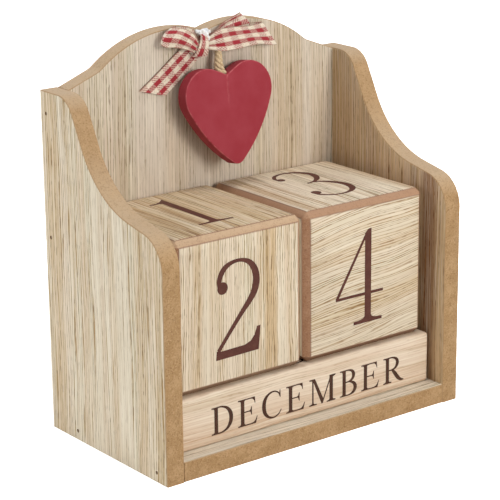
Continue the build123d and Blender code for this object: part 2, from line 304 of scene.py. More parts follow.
def sanded_wood(name, across, along, centre=(0, 0), bands=(), lean=0.0, wander=(3.0, 30, 110), ripple=(0.12, 4, 16),
                seed=0.0, pale="#E2D7C0", tan="#C9B088", streak="#A3855A", pore="#7D633E", depth=0.55, ring=0.85,
                cut=None, marked=0.0):
    """Bare sliced wood, its grain along one axis. `wander` and `ripple` are the slow and the quick bends of the grain,
    each as (amount, width, length) in millimetres.

    A band is (middle, half width, strength) in millimetres across the grain, from the centre. `depth` is how dark
    the rings are, `ring` their distance in millimetres and `marked` the strength of long dark marks.
    """
    material, tree, surface = new_material(name)
    grain = grain_coordinates(tree, across, along, centre, lean, wander, ripple, seed)
    across_grain = add_node(tree, "ShaderNodeSeparateXYZ", {0: grain}).outputs[0]
    mask = {part: along_the_grain(tree, grain, *scales) for part, scales in FIGURE.items()}

    growth = mask["growth"]
    for middle, half_width, strength in bands:
        away = add_node(tree, "ShaderNodeMath", {0: across_grain, 1: centre[0] + middle + wander[0] + ripple[0]},
                        operation="SUBTRACT").outputs[0]
        away = add_node(tree, "ShaderNodeMath", {0: away}, operation="ABSOLUTE").outputs[0]
        band = add_node(tree, "ShaderNodeMapRange", {
            0: away, 1: half_width * 1.3, 2: half_width * 0.5, 3: 0.0, 4: strength},
            interpolation_type="SMOOTHSTEP").outputs[0]
        growth = add_node(tree, "ShaderNodeMath", {0: growth, 1: band}, operation="MAXIMUM").outputs[0]

    # The year rings are cut nearly square to the sheet, so they show as fine lines at nearly equal distances.
    phase = add_node(tree, "ShaderNodeMath", {0: across_grain, 1: 2 * pi / ring}, operation="MULTIPLY").outputs[0]
    phase = add_node(tree, "ShaderNodeMath", {0: mask["sway"], 1: 9.0, 2: phase}, operation="MULTIPLY_ADD").outputs[0]
    rings = add_node(tree, "ShaderNodeMath", {0: phase}, operation="SINE").outputs[0]
    rings = add_node(tree, "ShaderNodeMapRange", {0: rings, 1: 0.0, 2: 0.85},
                     interpolation_type="SMOOTHSTEP").outputs[0]

    # The rings are strongest in the lanes and bands, break off along their way, and the pores lie in them.
    busy = add_node(tree, "ShaderNodeMath", {0: mask["lanes"], 1: growth}, operation="MAXIMUM").outputs[0]
    busy = add_node(tree, "ShaderNodeMath", {0: busy, 1: 0.6, 2: 0.4}, operation="MULTIPLY_ADD").outputs[0]
    broken = add_node(tree, "ShaderNodeMath", {0: mask["broken"], 1: 0.65, 2: 0.35},
                      operation="MULTIPLY_ADD").outputs[0]
    dark = add_node(tree, "ShaderNodeMath", {0: rings, 1: busy}, operation="MULTIPLY").outputs[0]
    open_pores = add_node(tree, "ShaderNodeMath", {0: dark, 1: mask["pores"]}, operation="MULTIPLY").outputs[0]
    dark = add_node(tree, "ShaderNodeMath", {0: dark, 1: broken}, operation="MULTIPLY").outputs[0]

    shade = pale
    for over, where, amount in ((ROSY, mask["rosy"], 0.40), (GREEN, mask["green"], 0.40), (tan, growth, 0.60),
                                (streak, mask["soft"], depth * 0.18), (CREAM, mask["light"], 0.30),
                                (streak, dark, depth * 1.7), (pore, open_pores, depth * 1.1),
                                (pore, mask["marks"], marked)):
        shade = shade_over(tree, shade, over, where, amount)
    if cut:  # where the sheet is cut through, its face no longer looks along the axis that crosses both grain axes
        facing = add_node(tree, "ShaderNodeTexCoord").outputs["Normal"]
        facing = add_node(tree, "ShaderNodeSeparateXYZ", {0: facing}).outputs[X + Y + Z - across - along]
        facing = add_node(tree, "ShaderNodeMath", {0: facing}, operation="ABSOLUTE").outputs[0]
        edge = add_node(tree, "ShaderNodeMapRange", {0: facing, 1: 0.95, 2: 0.80}).outputs[0]
        shade = shade_over(tree, shade, cut, edge, 0.9)

    dip = add_node(tree, "ShaderNodeMath", {0: dark, 1: 0.35, 2: open_pores}, operation="MULTIPLY_ADD").outputs[0]
    bump = add_node(tree, "ShaderNodeBump", {"Strength": 0.5, "Distance": 0.06 * MM, "Height": dip}, invert=True)
    wood = add_node(tree, "ShaderNodeBsdfPrincipled", {
        "Base Color": shade, "Roughness": 0.68, "Specular IOR Level": 0.3, "Normal": bump.outputs[0]})
    tree.links.new(wood.outputs[0], surface.inputs["Surface"])
    return material


print("every sheet shares the tints", ROSY, GREEN, CREAM)

# %% The sheets of veneer
CASE_CUT, CUBE_CUT = "#A88760", "#94705A"  # where a cut goes through the sheet it looks like the board's edge
CUBE_X, CUBE_Z = 25.75, 48.6  # how far a cube's middle is from the case's middle, and over the surface it stands on
upright_side = sanded_wood(
    "sanded paulownia, upright on a side", Y, Z, seed=1.0, depth=0.62, cut=CASE_CUT, streak="#A78858",
    bands=((26, 3.5, 0.95), (-29.5, 2.2, 0.9), (-21, 3.2, 0.8), (11, 2.5, 0.5), (-6, 2, 0.5)))
# The strong band at −24.4 mm, in dark tan, is painted shade: the shadow on the inner wall beside a cube's front.
inner_side = sanded_wood(
    "sanded paulownia, inside a side", Y, Z, seed=4.0, cut=CASE_CUT,
    pale="#D9BF98", tan="#82593A", streak="#9A6E44", pore="#6B4526",
    bands=((20, 6, 0.24), (4, 4, 0.2), (-24.4, 4.2, 1.15)))
upright_back = sanded_wood(
    "sanded paulownia, upright on the back", X, Z, seed=2.0, depth=0.46, cut=CASE_CUT,
    pale="#D2C6B7", tan="#BBA482", streak="#94815F", pore="#715E42",
    bands=((-34, 3, 0.6), (-12, 3, 0.4), (33, 6, 0.95), (22, 2.5, 0.4), (46, 3, 0.5)))
level_base = sanded_wood(
    "sanded paulownia, along the base", Y, X, seed=3.0, cut=CASE_CUT,
    pale="#D3CABA", tan="#BFAF94", streak="#968468", pore="#77664D")
left_front = sanded_wood(
    "sanded paulownia, upright on a cube", X, Z, centre=(-CUBE_X, CUBE_Z), seed=7.0, depth=0.62, ring=0.75,
    cut=CUBE_CUT, ripple=(0.4, 4, 7), pale="#E1D5C0", tan="#C09C66", streak="#A68A60",
    bands=((13, 2.8, 1.0), (-17, 2.0, 0.6), (8.5, 1.2, 0.5)))
right_front = sanded_wood(
    "sanded paulownia, leaning on a cube", Z, X, centre=(CUBE_Z, CUBE_X), seed=9.0, depth=0.62, ring=0.8, cut=CUBE_CUT,
    lean=7.0, wander=(3.2, 26, 55), ripple=(0.4, 7, 20), pale="#DACDB6", streak="#A07E52", pore="#80603A",
    bands=((-9, 3.2, 0.8), (9, 2.6, 0.55), (16, 1.5, 0.4)))
left_top = sanded_wood(
    "sanded paulownia, front to back on the left cube", X, Y, centre=(-CUBE_X, 0), seed=5.0, depth=0.5, cut=CUBE_CUT,
    marked=0.75, pale="#D0BA98", tan="#B08C60", streak="#94744C", pore="#7A5733",
    bands=((-6, 1.6, 0.9), (-13, 2.4, 0.8), (1.5, 0.8, 0.9), (14, 1.2, 0.5)))
right_top = sanded_wood(
    "sanded paulownia, front to back on the right cube", X, Y, centre=(CUBE_X, 0), seed=15.0, depth=0.5, cut=CUBE_CUT,
    marked=0.6, pale="#E9DCC6", tan="#BC9768", streak="#A08058", pore="#80603C",
    bands=((-19, 2.4, 0.9), (-13, 1.2, 0.6), (4, 1.2, 0.5)))
cube_side = sanded_wood("sanded paulownia, round a cube", Y, Z, seed=6.0, cut=CUBE_CUT)
print(len([m for m in bpy.data.materials if "paulownia" in m.name]), "sheets of veneer")

# %% [markdown]
# ## Finish: fibreboard edges
#
# Every cut edge shows the core, medium density fibreboard: ground wood fibre pressed with resin. Sanded, it is a
# warm brown without grain, clouded over a few millimetres and flecked with lighter and darker fibres about half a
# millimetre long. It is painted paler where it lies level, partly for dust and raised fibre and partly as painted
# light, and the edges that look down are darkened with painted shade. The cubes are cut from redder boards than
# the case.

# %% The fibreboard material
PAINTED_UNDERSIDE_SHADE = "#5C3F2C"


def fibreboard(name, base, light, dark, fuzz_and_painted_light, seed, flat=(0.15, 0.75)):
    """Sanded edge of medium density fibreboard. It takes the fourth colour as it turns level, between two heights
    of its normal; that paler colour is partly dust and raised fibre, partly painted light. Faces that look down
    get painted shade."""
    material, tree, surface = new_material(name)
    place = add_node(tree, "ShaderNodeTexCoord").outputs["Object"]
    place = add_node(tree, "ShaderNodeMapping", {"Vector": place, "Location": (seed, seed, seed),
                                                 "Scale": (1 / MM, 1 / MM, 1 / MM)}).outputs[0]
    normal = add_node(tree, "ShaderNodeNewGeometry").outputs["Normal"]
    height = add_node(tree, "ShaderNodeSeparateXYZ", {0: normal}).outputs[Z]
    downward = add_node(tree, "ShaderNodeMapRange", {0: height, 1: -0.2, 2: -0.7}).outputs[0]
    level = add_node(tree, "ShaderNodeMath", {0: height}, operation="ABSOLUTE").outputs[0]
    level = add_node(tree, "ShaderNodeMapRange", {0: level, 1: flat[0], 2: flat[1]}).outputs[0]
    quiet = add_node(tree, "ShaderNodeMath", {0: level, 1: -0.55, 2: 1.0}, operation="MULTIPLY_ADD").outputs[0]

    # Level faces, up and down, turn paler: partly dust and raised fibre, partly painted light.
    shade = shade_over(tree, base, fuzz_and_painted_light, level, 0.8)
    flecks = []
    for size, low, high, tone, amount in ((5.0, 0.35, 0.75, light, 0.50), (0.55, 0.50, 0.68, dark, 0.50),
                                          (0.45, 0.50, 0.70, light, 0.60), (1.4, 0.50, 0.75, dark, 0.25)):
        fleck = patches(tree, place, size, low, high, 2.5, interpolation_type="SMOOTHSTEP")
        fleck = add_node(tree, "ShaderNodeMath", {0: fleck, 1: quiet}, operation="MULTIPLY").outputs[0]
        shade = shade_over(tree, shade, tone, fleck, amount)
        flecks.append(fleck)
    # Faces that look down, such as the cubes' lower bevels over the bars, are darkened: painted shade.
    shade = shade_over(tree, shade, PAINTED_UNDERSIDE_SHADE, downward, 0.75)
    bump = add_node(tree, "ShaderNodeBump", {"Strength": 0.5, "Distance": 0.08 * MM, "Height": flecks[1]})
    board_edge = add_node(tree, "ShaderNodeBsdfPrincipled", {
        "Base Color": shade, "Roughness": 0.75, "Specular IOR Level": 0.25, "Normal": bump.outputs[0]})
    tree.links.new(board_edge.outputs[0], surface.inputs["Surface"])
    return material


case_edge = fibreboard("sanded fibreboard of the case", "#A7855C", "#C3A27A", "#7F5F3A", "#CDB598", 3.0, (0.35, 0.95))
left_cube_edge = fibreboard("sanded fibreboard of the left cube", "#A67C5E", "#C4A286", "#865F47", "#D2B898", 8.0)
right_cube_edge = fibreboard("sanded fibreboard of the right cube", "#A67C5E", "#BC9678", "#865F47", "#B49074", 5.0)
print("fibreboard for the case and for each cube")

# %% [markdown]
# ## Finish: the bars, the prints, the paint and the small parts
#
# The bars are solid softwood, pinker and smoother than the veneer, with two darker bands low on their faces.
# Numerals and months are screen printed in a thin brown oil ink that dries in paler patches. The heart has flat
# red paint, with a painted highlight along its front edge and crease. The brads are drawn steel and the glue is milky.

# %% Softwood, ink, paint, steel and glue
BAR_Z = 15.1  # height of a bar's middle
bar_wood = sanded_wood(
    "planed softwood of the bars", Z, X, centre=(BAR_Z, 0), seed=12.0, depth=0.20, wander=(1.5, 20, 50),
    pale="#DFCDB8", tan="#CBA98B", streak="#AE8660", pore="#8E6A4A",
    bands=((-5.4, 0.5, 1.1), (-7.3, 0.9, 0.9), (5.5, 1.5, 0.4)))


def printed_ink(name, tone, paler_tone):
    """Thin oil ink on bare wood: flat, a little uneven, paler in coarse and in fine patches."""
    material, tree, surface = new_material(name)
    place = add_node(tree, "ShaderNodeTexCoord").outputs["Object"]
    shade = tone
    for size, low in ((2.4, 0.45), (0.5, 0.55)):
        shade = shade_over(tree, shade, paler_tone, patches(tree, place, size * MM, low, 0.75), 0.5)
    ink = add_node(tree, "ShaderNodeBsdfPrincipled", {
        "Base Color": shade, "Roughness": 0.6, "Specular IOR Level": 0.2})
    tree.links.new(ink.outputs[0], surface.inputs["Surface"])
    return material


day_ink = printed_ink("screen-printed brown ink", "#542F27", "#684035")
month_ink = printed_ink("screen-printed dark brown ink", "#442A1F", "#593D2E")

heart_paint, tree, surface = new_material("flat red paint")
place = add_node(tree, "ShaderNodeTexCoord").outputs["Object"]
shade = shade_over(tree, "#962F3A", "#9E3A45", patches(tree, place, 7 * MM, 0.35, 0.7, 4.0))
# The front edge and the sides of the crease are painted a paler red, broken into patches: a painted highlight. The mesh
# carries how much.
paler_tone = add_node(tree, "ShaderNodeAttribute", attribute_name="paler_tone").outputs["Fac"]
paler_tone = add_node(tree, "ShaderNodeMath", {0: paler_tone, 1: patches(tree, place, 1.6 * MM, 0.32, 0.6, 3.0)},
                operation="MULTIPLY").outputs[0]
shade = shade_over(tree, shade, "#C26A6E", paler_tone, 0.8)
stipple = add_node(tree, "ShaderNodeTexNoise", {"Vector": place, "Scale": 1 / (0.9 * MM), "Detail": 3.0})
bump = add_node(tree, "ShaderNodeBump", {"Strength": 0.25, "Distance": 0.05 * MM, "Height": stipple.outputs[0]})
paint = add_node(tree, "ShaderNodeBsdfPrincipled", {
    "Base Color": shade, "Roughness": 0.62, "Specular IOR Level": 0.15, "Normal": bump.outputs[0]})
tree.links.new(paint.outputs[0], surface.inputs["Surface"])

# Drawn steel wire has dulled in the wood: brownish, with only a soft shine.
steel, tree, surface = new_material("drawn steel brad")
place = add_node(tree, "ShaderNodeTexCoord").outputs["Object"]
tarnish = add_node(tree, "ShaderNodeTexNoise", {"Vector": place, "Scale": 1 / (0.5 * MM)}).outputs[0]
shade = shade_over(tree, "#9E8C74", "#78654F", tarnish)
metal = add_node(tree, "ShaderNodeBsdfPrincipled", {"Base Color": shade, "Metallic": 0.7, "Roughness": 0.6})
tree.links.new(metal.outputs[0], surface.inputs["Surface"])

# Hot-melt glue is milky, lets a little light in and has a smooth skin that shines.
glue, tree, surface = new_material("hot-melt glue")
place = add_node(tree, "ShaderNodeTexCoord").outputs["Object"]
shade = shade_over(tree, "#FDFCFA", "#DCE0E6", patches(tree, place, 1.5 * MM, 0.4, 0.7))
gel = add_node(tree, "ShaderNodeBsdfPrincipled", {
    "Base Color": shade, "Roughness": 0.18, "IOR": 1.48, "Transmission Weight": 0.08, "Coat Weight": 0.3})
tree.links.new(gel.outputs[0], surface.inputs["Surface"])
print(len(bpy.data.materials), "materials so far")

# %% [markdown]
# ## Making a piece
#
# Every piece is finished the same way: its mesh is in place and in metres, its faces point outwards, edges that
# turn sharply stay sharp, and the frame is told what it rides on, what it stands for and which finish it takes.

# %% The helpers that make and finish a piece


def finish_piece(item, material, body, stands_for=(), sharp=32.0):
    """Gives a mesh object its material and shading and ties it to the frame. `sharp` is an angle in degrees."""
    mesh = item.data
    shell = bmesh.new()
    shell.from_mesh(mesh)
    bmesh.ops.recalc_face_normals(shell, faces=shell.faces)
    shell.to_mesh(mesh)
    shell.free()
    mesh.materials.clear()
    mesh.materials.append(material)
    mesh.shade_smooth()
    mesh.set_sharp_from_angle(angle=radians(sharp))
    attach(item, body)
    if stands_for:
        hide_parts(*stands_for)
    return item


def make_piece(name, points, faces, material, body, stands_for=(), sharp=32.0):
    """A piece from points in millimetres and faces."""
    mesh = bpy.data.meshes.new(name)
    mesh.from_pydata([Vector(p) * MM for p in points], [], faces)
    return finish_piece(new_object(name, mesh), material, body, stands_for, sharp)


def walls(rows, count):
    """The quads between closed rows of points, each `count` long, one row after another."""
    return [(row * count + i, row * count + (i + 1) % count, (row + 1) * count + (i + 1) % count, (row + 1) * count + i)
            for row in range(rows - 1) for i in range(count)]


print("the walls of a box take", len(walls(2, 4)), "quads")

# %% [markdown]
# ## Outlines
#
# A board is sawn to an outline and then sanded, so it is modelled the same way: first the outline as a closed
# line of points, then the thickness. Corners with a radius are rounded here with true arcs, fine enough that no
# flat shows in the silhouette.

# %% Outlines with rounded corners
ARC_STEP = radians(3.0)
SHORTEST_MITRE = 0.35  # where an outline turns back on itself, the inset doesn't run away


def arc(centre, radius, start, end):
    """Points on a circle from one angle to another, in radians."""
    steps = max(2, ceil(abs(end - start) / ARC_STEP))
    return [(centre[0] + radius * cos(start + (end - start) * i / steps),
             centre[1] + radius * sin(start + (end - start) * i / steps)) for i in range(steps + 1)]


def rounded(corners, radii):
    """A closed outline with an arc of the given radius at each corner."""
    outline = []
    for i, (corner, radius) in enumerate(zip(corners, radii)):
        here = Vector(corner)
        if not radius:
            outline.append(corner)
            continue
        before = (Vector(corners[i - 1]) - here).normalized()
        after = (Vector(corners[(i + 1) % len(corners)]) - here).normalized()
        half = acos(before.dot(after)) / 2
        centre = here + (before + after).normalized() * radius / sin(half)
        first = here + before * radius / tan(half) - centre
        last = here + after * radius / tan(half) - centre
        start = atan2(first.y, first.x)
        turn = (atan2(last.y, last.x) - start + pi) % (2 * pi) - pi
        outline += arc(centre, radius, start, start + turn)
    return outline


def inset(outline, amounts, axes=(1, 1)):
    """The outline moved inwards, by its own amount at each point. The outline runs anticlockwise."""
    moved = []
    count = len(outline)
    for i in range(count):
        here = Vector(outline[i])
        before = (here - Vector(outline[i - 1])).normalized()
        after = (Vector(outline[(i + 1) % count]) - here).normalized()
        inward = (Vector((-before.y, before.x)) + Vector((-after.y, after.x))).normalized()
        mitre = max(SHORTEST_MITRE, inward.dot(Vector((-before.y, before.x))))
        step = inward * amounts[i] / mitre
        moved.append(here + Vector((step.x * axes[0], step.y * axes[1])))
    return moved


# Side: the front arm rises gently, sweeps up to the shoulder and runs level to the back.
arm_height, arm_rise, arm_depth, sweep_depth = 76.0, 6.4, 33.5, 15.2
shoulder_radius, sweep_radius, arm_radius = 8.5, 34.0, 11.0
side_outline = rounded(
    [(front_y, 0), (rear_y, 0), (rear_y, shoulder_height), (front_y + arm_depth + sweep_depth, shoulder_height),
     (front_y + arm_depth, arm_height + arm_rise), (front_y, arm_height)],
    [0, 0, 0, shoulder_radius, sweep_radius, arm_radius])
print("side outline:", len(side_outline), "points")

# %% [markdown]
# ## Boards in three layers
#
# Each board is a core between two veneers, and the sandpaper rounds all three together. So the rounding is worked
# out once, as how far the outline draws in at a given depth under the nearest face, and every layer is a stack of
# such outlines. The thin sheet tears a little as it is sawn, which gives its edge a slightly wavering line.

# %% Building a board
TORN_EDGE, TEAR_PITCH = 0.16, 0.9  # how far a veneer's edge wavers, in millimetres, and how often


def draw_in(depth):
    """How far a rounded edge draws in at a depth under the nearest face."""
    depth = min(depth, board - depth)
    return 0.0 if depth >= arris else arris - sqrt(arris**2 - (arris - depth) ** 2)


def layer(outline, eased, place, start, end, torn=0.0, axes=(1, 1)):
    """Points and faces of the slice of a board from one depth to another. `eased` says which points are rounded."""
    marks = [arris * share for share in (0, 0.1, 0.25, 0.45, 0.7, 1)]
    depths = sorted({start, end, *(d for d in marks + [board - d for d in marks] if start < d < end)})
    points, count = [], len(outline)
    for depth in depths:
        tear = [torn * abs(noise.noise((p[0] * TEAR_PITCH, p[1] * TEAR_PITCH, start))) for p in outline]
        ring = inset(outline, [(draw_in(depth) + t * (draw_in(depth) > 0)) * e for t, e in zip(tear, eased)], axes)
        points += [place(p[0], p[1], depth) for p in ring]
    caps = [tuple(range(count))[::-1], tuple(range(len(points) - count, len(points)))]
    return points, walls(len(depths), count) + caps


def dense(outline, gap=1.5):
    """The outline with extra points, so that a long straight edge can waver too."""
    result = []
    for i, here in enumerate(outline):
        there = outline[(i + 1) % len(outline)]
        parts = max(1, ceil(hypot(there[0] - here[0], there[1] - here[1]) / gap))
        result += [(here[0] + (there[0] - here[0]) * k / parts, here[1] + (there[1] - here[1]) * k / parts)
                   for k in range(parts)]
    return result


def veneered_board(name, first, last, outline, eased, place, axes=(1, 1)):
    """The three sheets of a board, from one veneer through the core to the other. A veneer is (its name, finish)."""
    sheets = []
    for (part, finish), start, end in ((first, 0, veneer), (("core", case_edge), veneer, board - veneer),
                                       (last, board - veneer, board)):
        torn, slot = (0.0, "mdf") if part == "core" else (TORN_EDGE, "veneer")
        points, faces = layer(outline, eased, place, start, end, torn, axes)
        sheets.append(make_piece(f"{name}_{part}_sheet", points, faces, finish, "case", [f"{name}_{part}"]))
    return sheets


def punch(item, places, radius):
    """Cuts round holes along X through a piece, at (x, y, z) places."""
    drill = bpy.data.meshes.new("drill")
    cutter = bmesh.new()
    for place in places:
        bmesh.ops.create_cone(cutter, cap_ends=True, segments=20, radius1=radius * MM, radius2=radius * MM,
                              depth=DRILL_LENGTH * MM,
                              matrix=Matrix.Translation(Vector(place) * MM) @ Matrix.Rotation(pi / 2, 4, "Y"))
    cutter.to_mesh(drill)
    cutter.free()
    tool = new_object("drill", drill)
    cut = item.modifiers.new("holes", "BOOLEAN")
    cut.object, cut.solver = tool, "EXACT"
    result = plain_mesh(item)
    item.modifiers.clear()
    item.data = result
    bpy.data.objects.remove(tool)


print("a sanded edge draws in", round(draw_in(0), 2), "mm at the face and", round(draw_in(arris / 2), 2), "mm half way")

# %% The two sides
# Each side is pinned by four brads, two into the base and two into the back panel, as (y, z).
brad_places = ((-26.7, 3.3), (17.0, 3.3), (28.7, 65.0), (28.7, 105.0))
BRAD_HOLE, DRILL_LENGTH, DRILL_DEPTH = 0.62, 6, 1.5  # the hole's radius, the drill's length and its middle's depth
side_line = dense(side_outline)
for side, outer_face, turn in (("left", case_left, 1), ("right", case_right, -1)):
    def put_side(y, z, depth):
        """A place in the side, `depth` under its outer face."""
        return outer_face + turn * depth, y, z

    sheets = veneered_board(f"{side}_side", ("outer_veneer", upright_side), ("inner_veneer", inner_side), side_line,
                            [1.0] * len(side_line), put_side)
    for sheet in sheets[:2]:
        punch(sheet, [put_side(y, z, DRILL_DEPTH) for y, z in brad_places], BRAD_HOLE)
    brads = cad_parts[f"{side}_side_brads"].data
    brads.materials.clear()
    brads.materials.append(steel)
print("two sides")

# %% [markdown]
# ## Back panel and base
#
# The back stands between the sides and rises into two low humps that meet in a cusp. Each hump is one arc, and a
# small hollow arc leads into it from the sloping shoulder. That hollow touches a straight line on one side and a
# circle on the other, so its centre is where a line and a larger circle, both set off by its radius, cross.

# %% The back panel
hump_radius, hump_offset, hump_half_span, hump_foot_radius = 43.0, 13.5, 27.8, 8.0
half_width = right_inner
hump = Vector((hump_offset, crest_height - hump_radius))
foot = hump + Vector((hump_half_span, sqrt(hump_radius**2 - hump_half_span**2)))
shoulder = Vector((half_width, shoulder_height))
slope = (foot - shoulder).normalized()
off_line = Vector((slope.y, -slope.x)) * hump_foot_radius
start = shoulder + off_line - hump
reach_out = sqrt((hump_radius + hump_foot_radius) ** 2 - (start - slope * start.dot(slope)).length_squared)
hollow = hump + start - slope * start.dot(slope) - slope * reach_out
touch_line = hollow - off_line
touch_hump = hump + (hollow - hump).normalized() * hump_radius
cusp = Vector((0, hump.y + sqrt(hump_radius**2 - hump_offset**2)))


def bearing_of(vector):
    """Direction of a flat vector, in radians from the first axis."""
    return atan2(vector.y, vector.x)


hollow_arc = arc(hollow, hump_foot_radius, bearing_of(touch_line - hollow) % (2 * pi),
                 bearing_of(touch_hump - hollow) % (2 * pi))
hump_arc = arc(hump, hump_radius, bearing_of(touch_hump - hump), bearing_of(cusp - hump))
right_half = [tuple(shoulder)] + hollow_arc + hump_arc
left_half = [(-x, z) for x, z in reversed(right_half[:-1])]
back_outline = dense([(-half_width, 0), (half_width, 0)] + right_half + left_half)
crest = [1.0 if z > shoulder_height - 0.01 else 0.0 for x, z in back_outline]  # only the top edge is sanded round


def put_back(x, z, depth):
    """A place in the back panel: across, up and behind its front face."""
    return x, panel_y + depth, z


veneered_board("back_panel", ("front_veneer", upright_back), ("rear_veneer", upright_back), back_outline, crest,
               put_back, axes=(0, 1))
print("back panel with", len(back_outline), "points in its outline")

# %% The base
base_outline = dense([(left_inner, front_y), (right_inner, front_y), (right_inner, panel_y), (left_inner, panel_y)])
front_edge = [1.0 if y < front_y + 0.01 else 0.0 for x, y in base_outline]


def put_base(x, y, depth):
    """A place in the base board, `depth` above its underside."""
    return x, y, depth


veneered_board("base", ("bottom_veneer", level_base), ("top_veneer", level_base), base_outline, front_edge,
               put_base, axes=(0, 1))
print("base")

# %% [markdown]
# ## Faces to print on
#
# A cube or a bar shows a different face each time it is turned, and every face carries a print. So each face is
# described once, by its middle, its reading direction, its upward direction and its outward normal. A bar is
# rolled about its length, so its four months follow each other round it. A cube is turned either way.

# %% Faces of a block
FACING = {
    "front": ((1, 0, 0), (0, 0, 1)),
    "top": ((1, 0, 0), (0, 1, 0)),
    "left": ((0, -1, 0), (0, 0, 1)),
    "right": ((0, 1, 0), (0, 0, 1)),
    "rear": ((-1, 0, 0), (0, 0, 1)),
    "bottom": ((1, 0, 0), (0, -1, 0)),
}
ROLLED_REAR = ((1, 0, 0), (0, 0, -1))


def face_places(middle, half_size, reading, upward):
    """A function from (across, height, proud) on one face of a block to a point in the frame."""
    reading, upward = Vector(reading), Vector(upward)
    normal = reading.cross(upward)
    to_face = abs(normal.dot(Vector(half_size)))

    def place(across, height, proud):
        """A point on the face, or `proud` millimetres over it."""
        return Vector(middle) + reading * across + upward * height + normal * (to_face + proud)

    return place


print(len(FACING), "faces on a cube; a bar is rolled, so its rear reads with", ROLLED_REAR[1], "up")

# %% [markdown]
# ## Day cubes
#
# A cube is sawn from fibreboard, veneered on six sides and then given a flat bevel along every edge, which cuts
# through the veneer and shows the board. Where the bevel meets the sheet, the sheet's edge is thin enough to
# waver. The core has its corners broken a second time, by a tenth of a millimetre.

# %% Cubes
cube_bevel, CUBE_EASE = 2.3, 0.1
CUBE_TEAR = 0.22  # how far the sheet's edge wavers
CUBES_TOGETHER = 0.4  # in use the cubes lie nearly against each other
SHEET_EDGE = ((0, 0.10), (0.04, 0.03), (0.12, -0.12), (veneer, -veneer))  # depth under the face, and how far it's in


def bevelled_block(name, half_size, bevel, soften, rounds):
    """A box about the origin with bevelled edges, whose new edges are softened in turn."""
    block = bmesh.new()
    bmesh.ops.create_cube(block, size=2 * MM, matrix=Matrix.Diagonal((*half_size, 1)))
    bmesh.ops.bevel(block, geom=list(block.edges), offset=bevel * MM, segments=rounds, profile=0.5, affect="EDGES")
    if soften:
        bmesh.ops.bevel(block, geom=list(block.edges), offset=soften * MM, segments=2, profile=0.5, affect="EDGES")
    mesh = bpy.data.meshes.new(name)
    block.to_mesh(mesh)
    block.free()
    return mesh


def block_of(*nodes):
    """Middle and half size of the box round some nodes, in millimetres."""
    low = [min(span(n, a)[0] for n in nodes) for a in (X, Y, Z)]
    high = [max(span(n, a)[1] for n in nodes) for a in (X, Y, Z)]
    return [(a + b) / 2 for a, b in zip(low, high)], [(b - a) / 2 for a, b in zip(low, high)]


def sheet_on(place, half, bevel):
    """Points and faces of a veneer sheet on a cube's face, its edge cut on the bevel."""
    side = half - bevel
    square = dense([(-side, -side), (side, -side), (side, side), (-side, side)], 1.2)
    points, count = [], len(square)
    for depth, drawn in SHEET_EDGE:
        tear = [CUBE_TEAR * abs(noise.noise((*place(p[0], p[1], 0),))) * (depth < 0.1) for p in square]
        ring = inset(square, [drawn + t for t in tear])
        points += [place(p[0], p[1], -depth) for p in ring]
    caps = [tuple(range(count)), tuple(range(3 * count, 4 * count))[::-1]]
    return points, walls(len(SHEET_EDGE), count) + caps


cube_faces = {}
for name, edge_finish, front_finish, top_finish in (("left_cube", left_cube_edge, left_front, left_top),
                                                    ("right_cube", right_cube_edge, right_front, right_top)):
    skins = [f"{name}_{face}_veneer" for face in FACING]
    middle, half_size = block_of(*skins)
    middle[X] += CUBES_TOGETHER if name == "left_cube" else -CUBES_TOGETHER
    core_half = half_size[0] - veneer
    mesh = bevelled_block(f"{name}_fibreboard", (core_half,) * 3, cube_bevel - veneer * 2, CUBE_EASE, 1)
    mesh.transform(Matrix.Translation(Vector(middle) * MM))
    core = new_object(f"{name}_fibreboard", mesh)
    finish_piece(core, edge_finish, name, [f"{name}_core"], sharp=60)
    for face, (reading, upward) in FACING.items():
        place = face_places(middle, half_size, reading, upward)
        cube_faces[name, face] = place
        points, faces = sheet_on(place, half_size[0], cube_bevel)
        finish = {"front": front_finish, "rear": left_front, "top": top_finish, "bottom": top_finish}.get(
            face, cube_side)
        make_piece(f"{name}_{face}_sheet", points, faces, finish, name, [f"{name}_{face}_veneer"])
print("two cubes with", len(cube_faces), "veneered faces")

# %% [markdown]
# ## Month bars
#
# Three solid bars lie behind each other, four months on each. Their edges are rounded with a millimetre's radius.

# %% Bars
BAR_ROUND = 1.0
bar_faces = {}
for row in ("front", "middle", "rear"):
    node = f"{row}_month_bar"
    middle, half_size = block_of(node)
    mesh = bevelled_block(f"{row}_bar_of_softwood", half_size, BAR_ROUND, 0, 4)
    mesh.transform(Matrix.Translation(Vector(middle) * MM))
    finish_piece(new_object(f"{row}_bar_of_softwood", mesh), bar_wood, f"{row}_bar", [node], sharp=60)
    for face in ("front", "top", "rear", "bottom"):
        reading, upward = ROLLED_REAR if face == "rear" else FACING[face]
        bar_faces[row, face] = face_places(middle, half_size, reading, upward)
print("three bars")

# %% [markdown]
# ## Numerals and months
#
# The prints are plain calendar lettering: a high-contrast roman with ball ends, drawn here from scratch. A letter
# is a set of strokes, as a sign writer sees it: upright stems, bracketed feet, slanting lines, balls, and curved
# strokes whose pen swells and thins on the way. The strokes overlap freely, and one constrained triangulation
# joins them, so the counters of D or 8 stay open. The film of ink gets a real, very small thickness.

# %% The sign writer's strokes
SERIF, BRACKET = 0.045, 0.06  # thickness of a foot and height of its bracket, as shares of the letter's height


def bent(first, middle, last, steps=5):
    """Points on a quadratic curve."""
    return [tuple((1 - t) ** 2 * a + 2 * t * (1 - t) * b + t * t * c for a, b, c in zip(first, middle, last))
            for t in (i / steps for i in range(steps + 1))]


def smooth_between(a, b, c, d, t):
    """The point at `t` from b to c on the smooth curve through four points."""
    return 0.5 * (2 * b + (c - a) * t + (2 * a - 5 * b + 4 * c - d) * t**2 + (3 * b - 3 * c + d - a) * t**3)


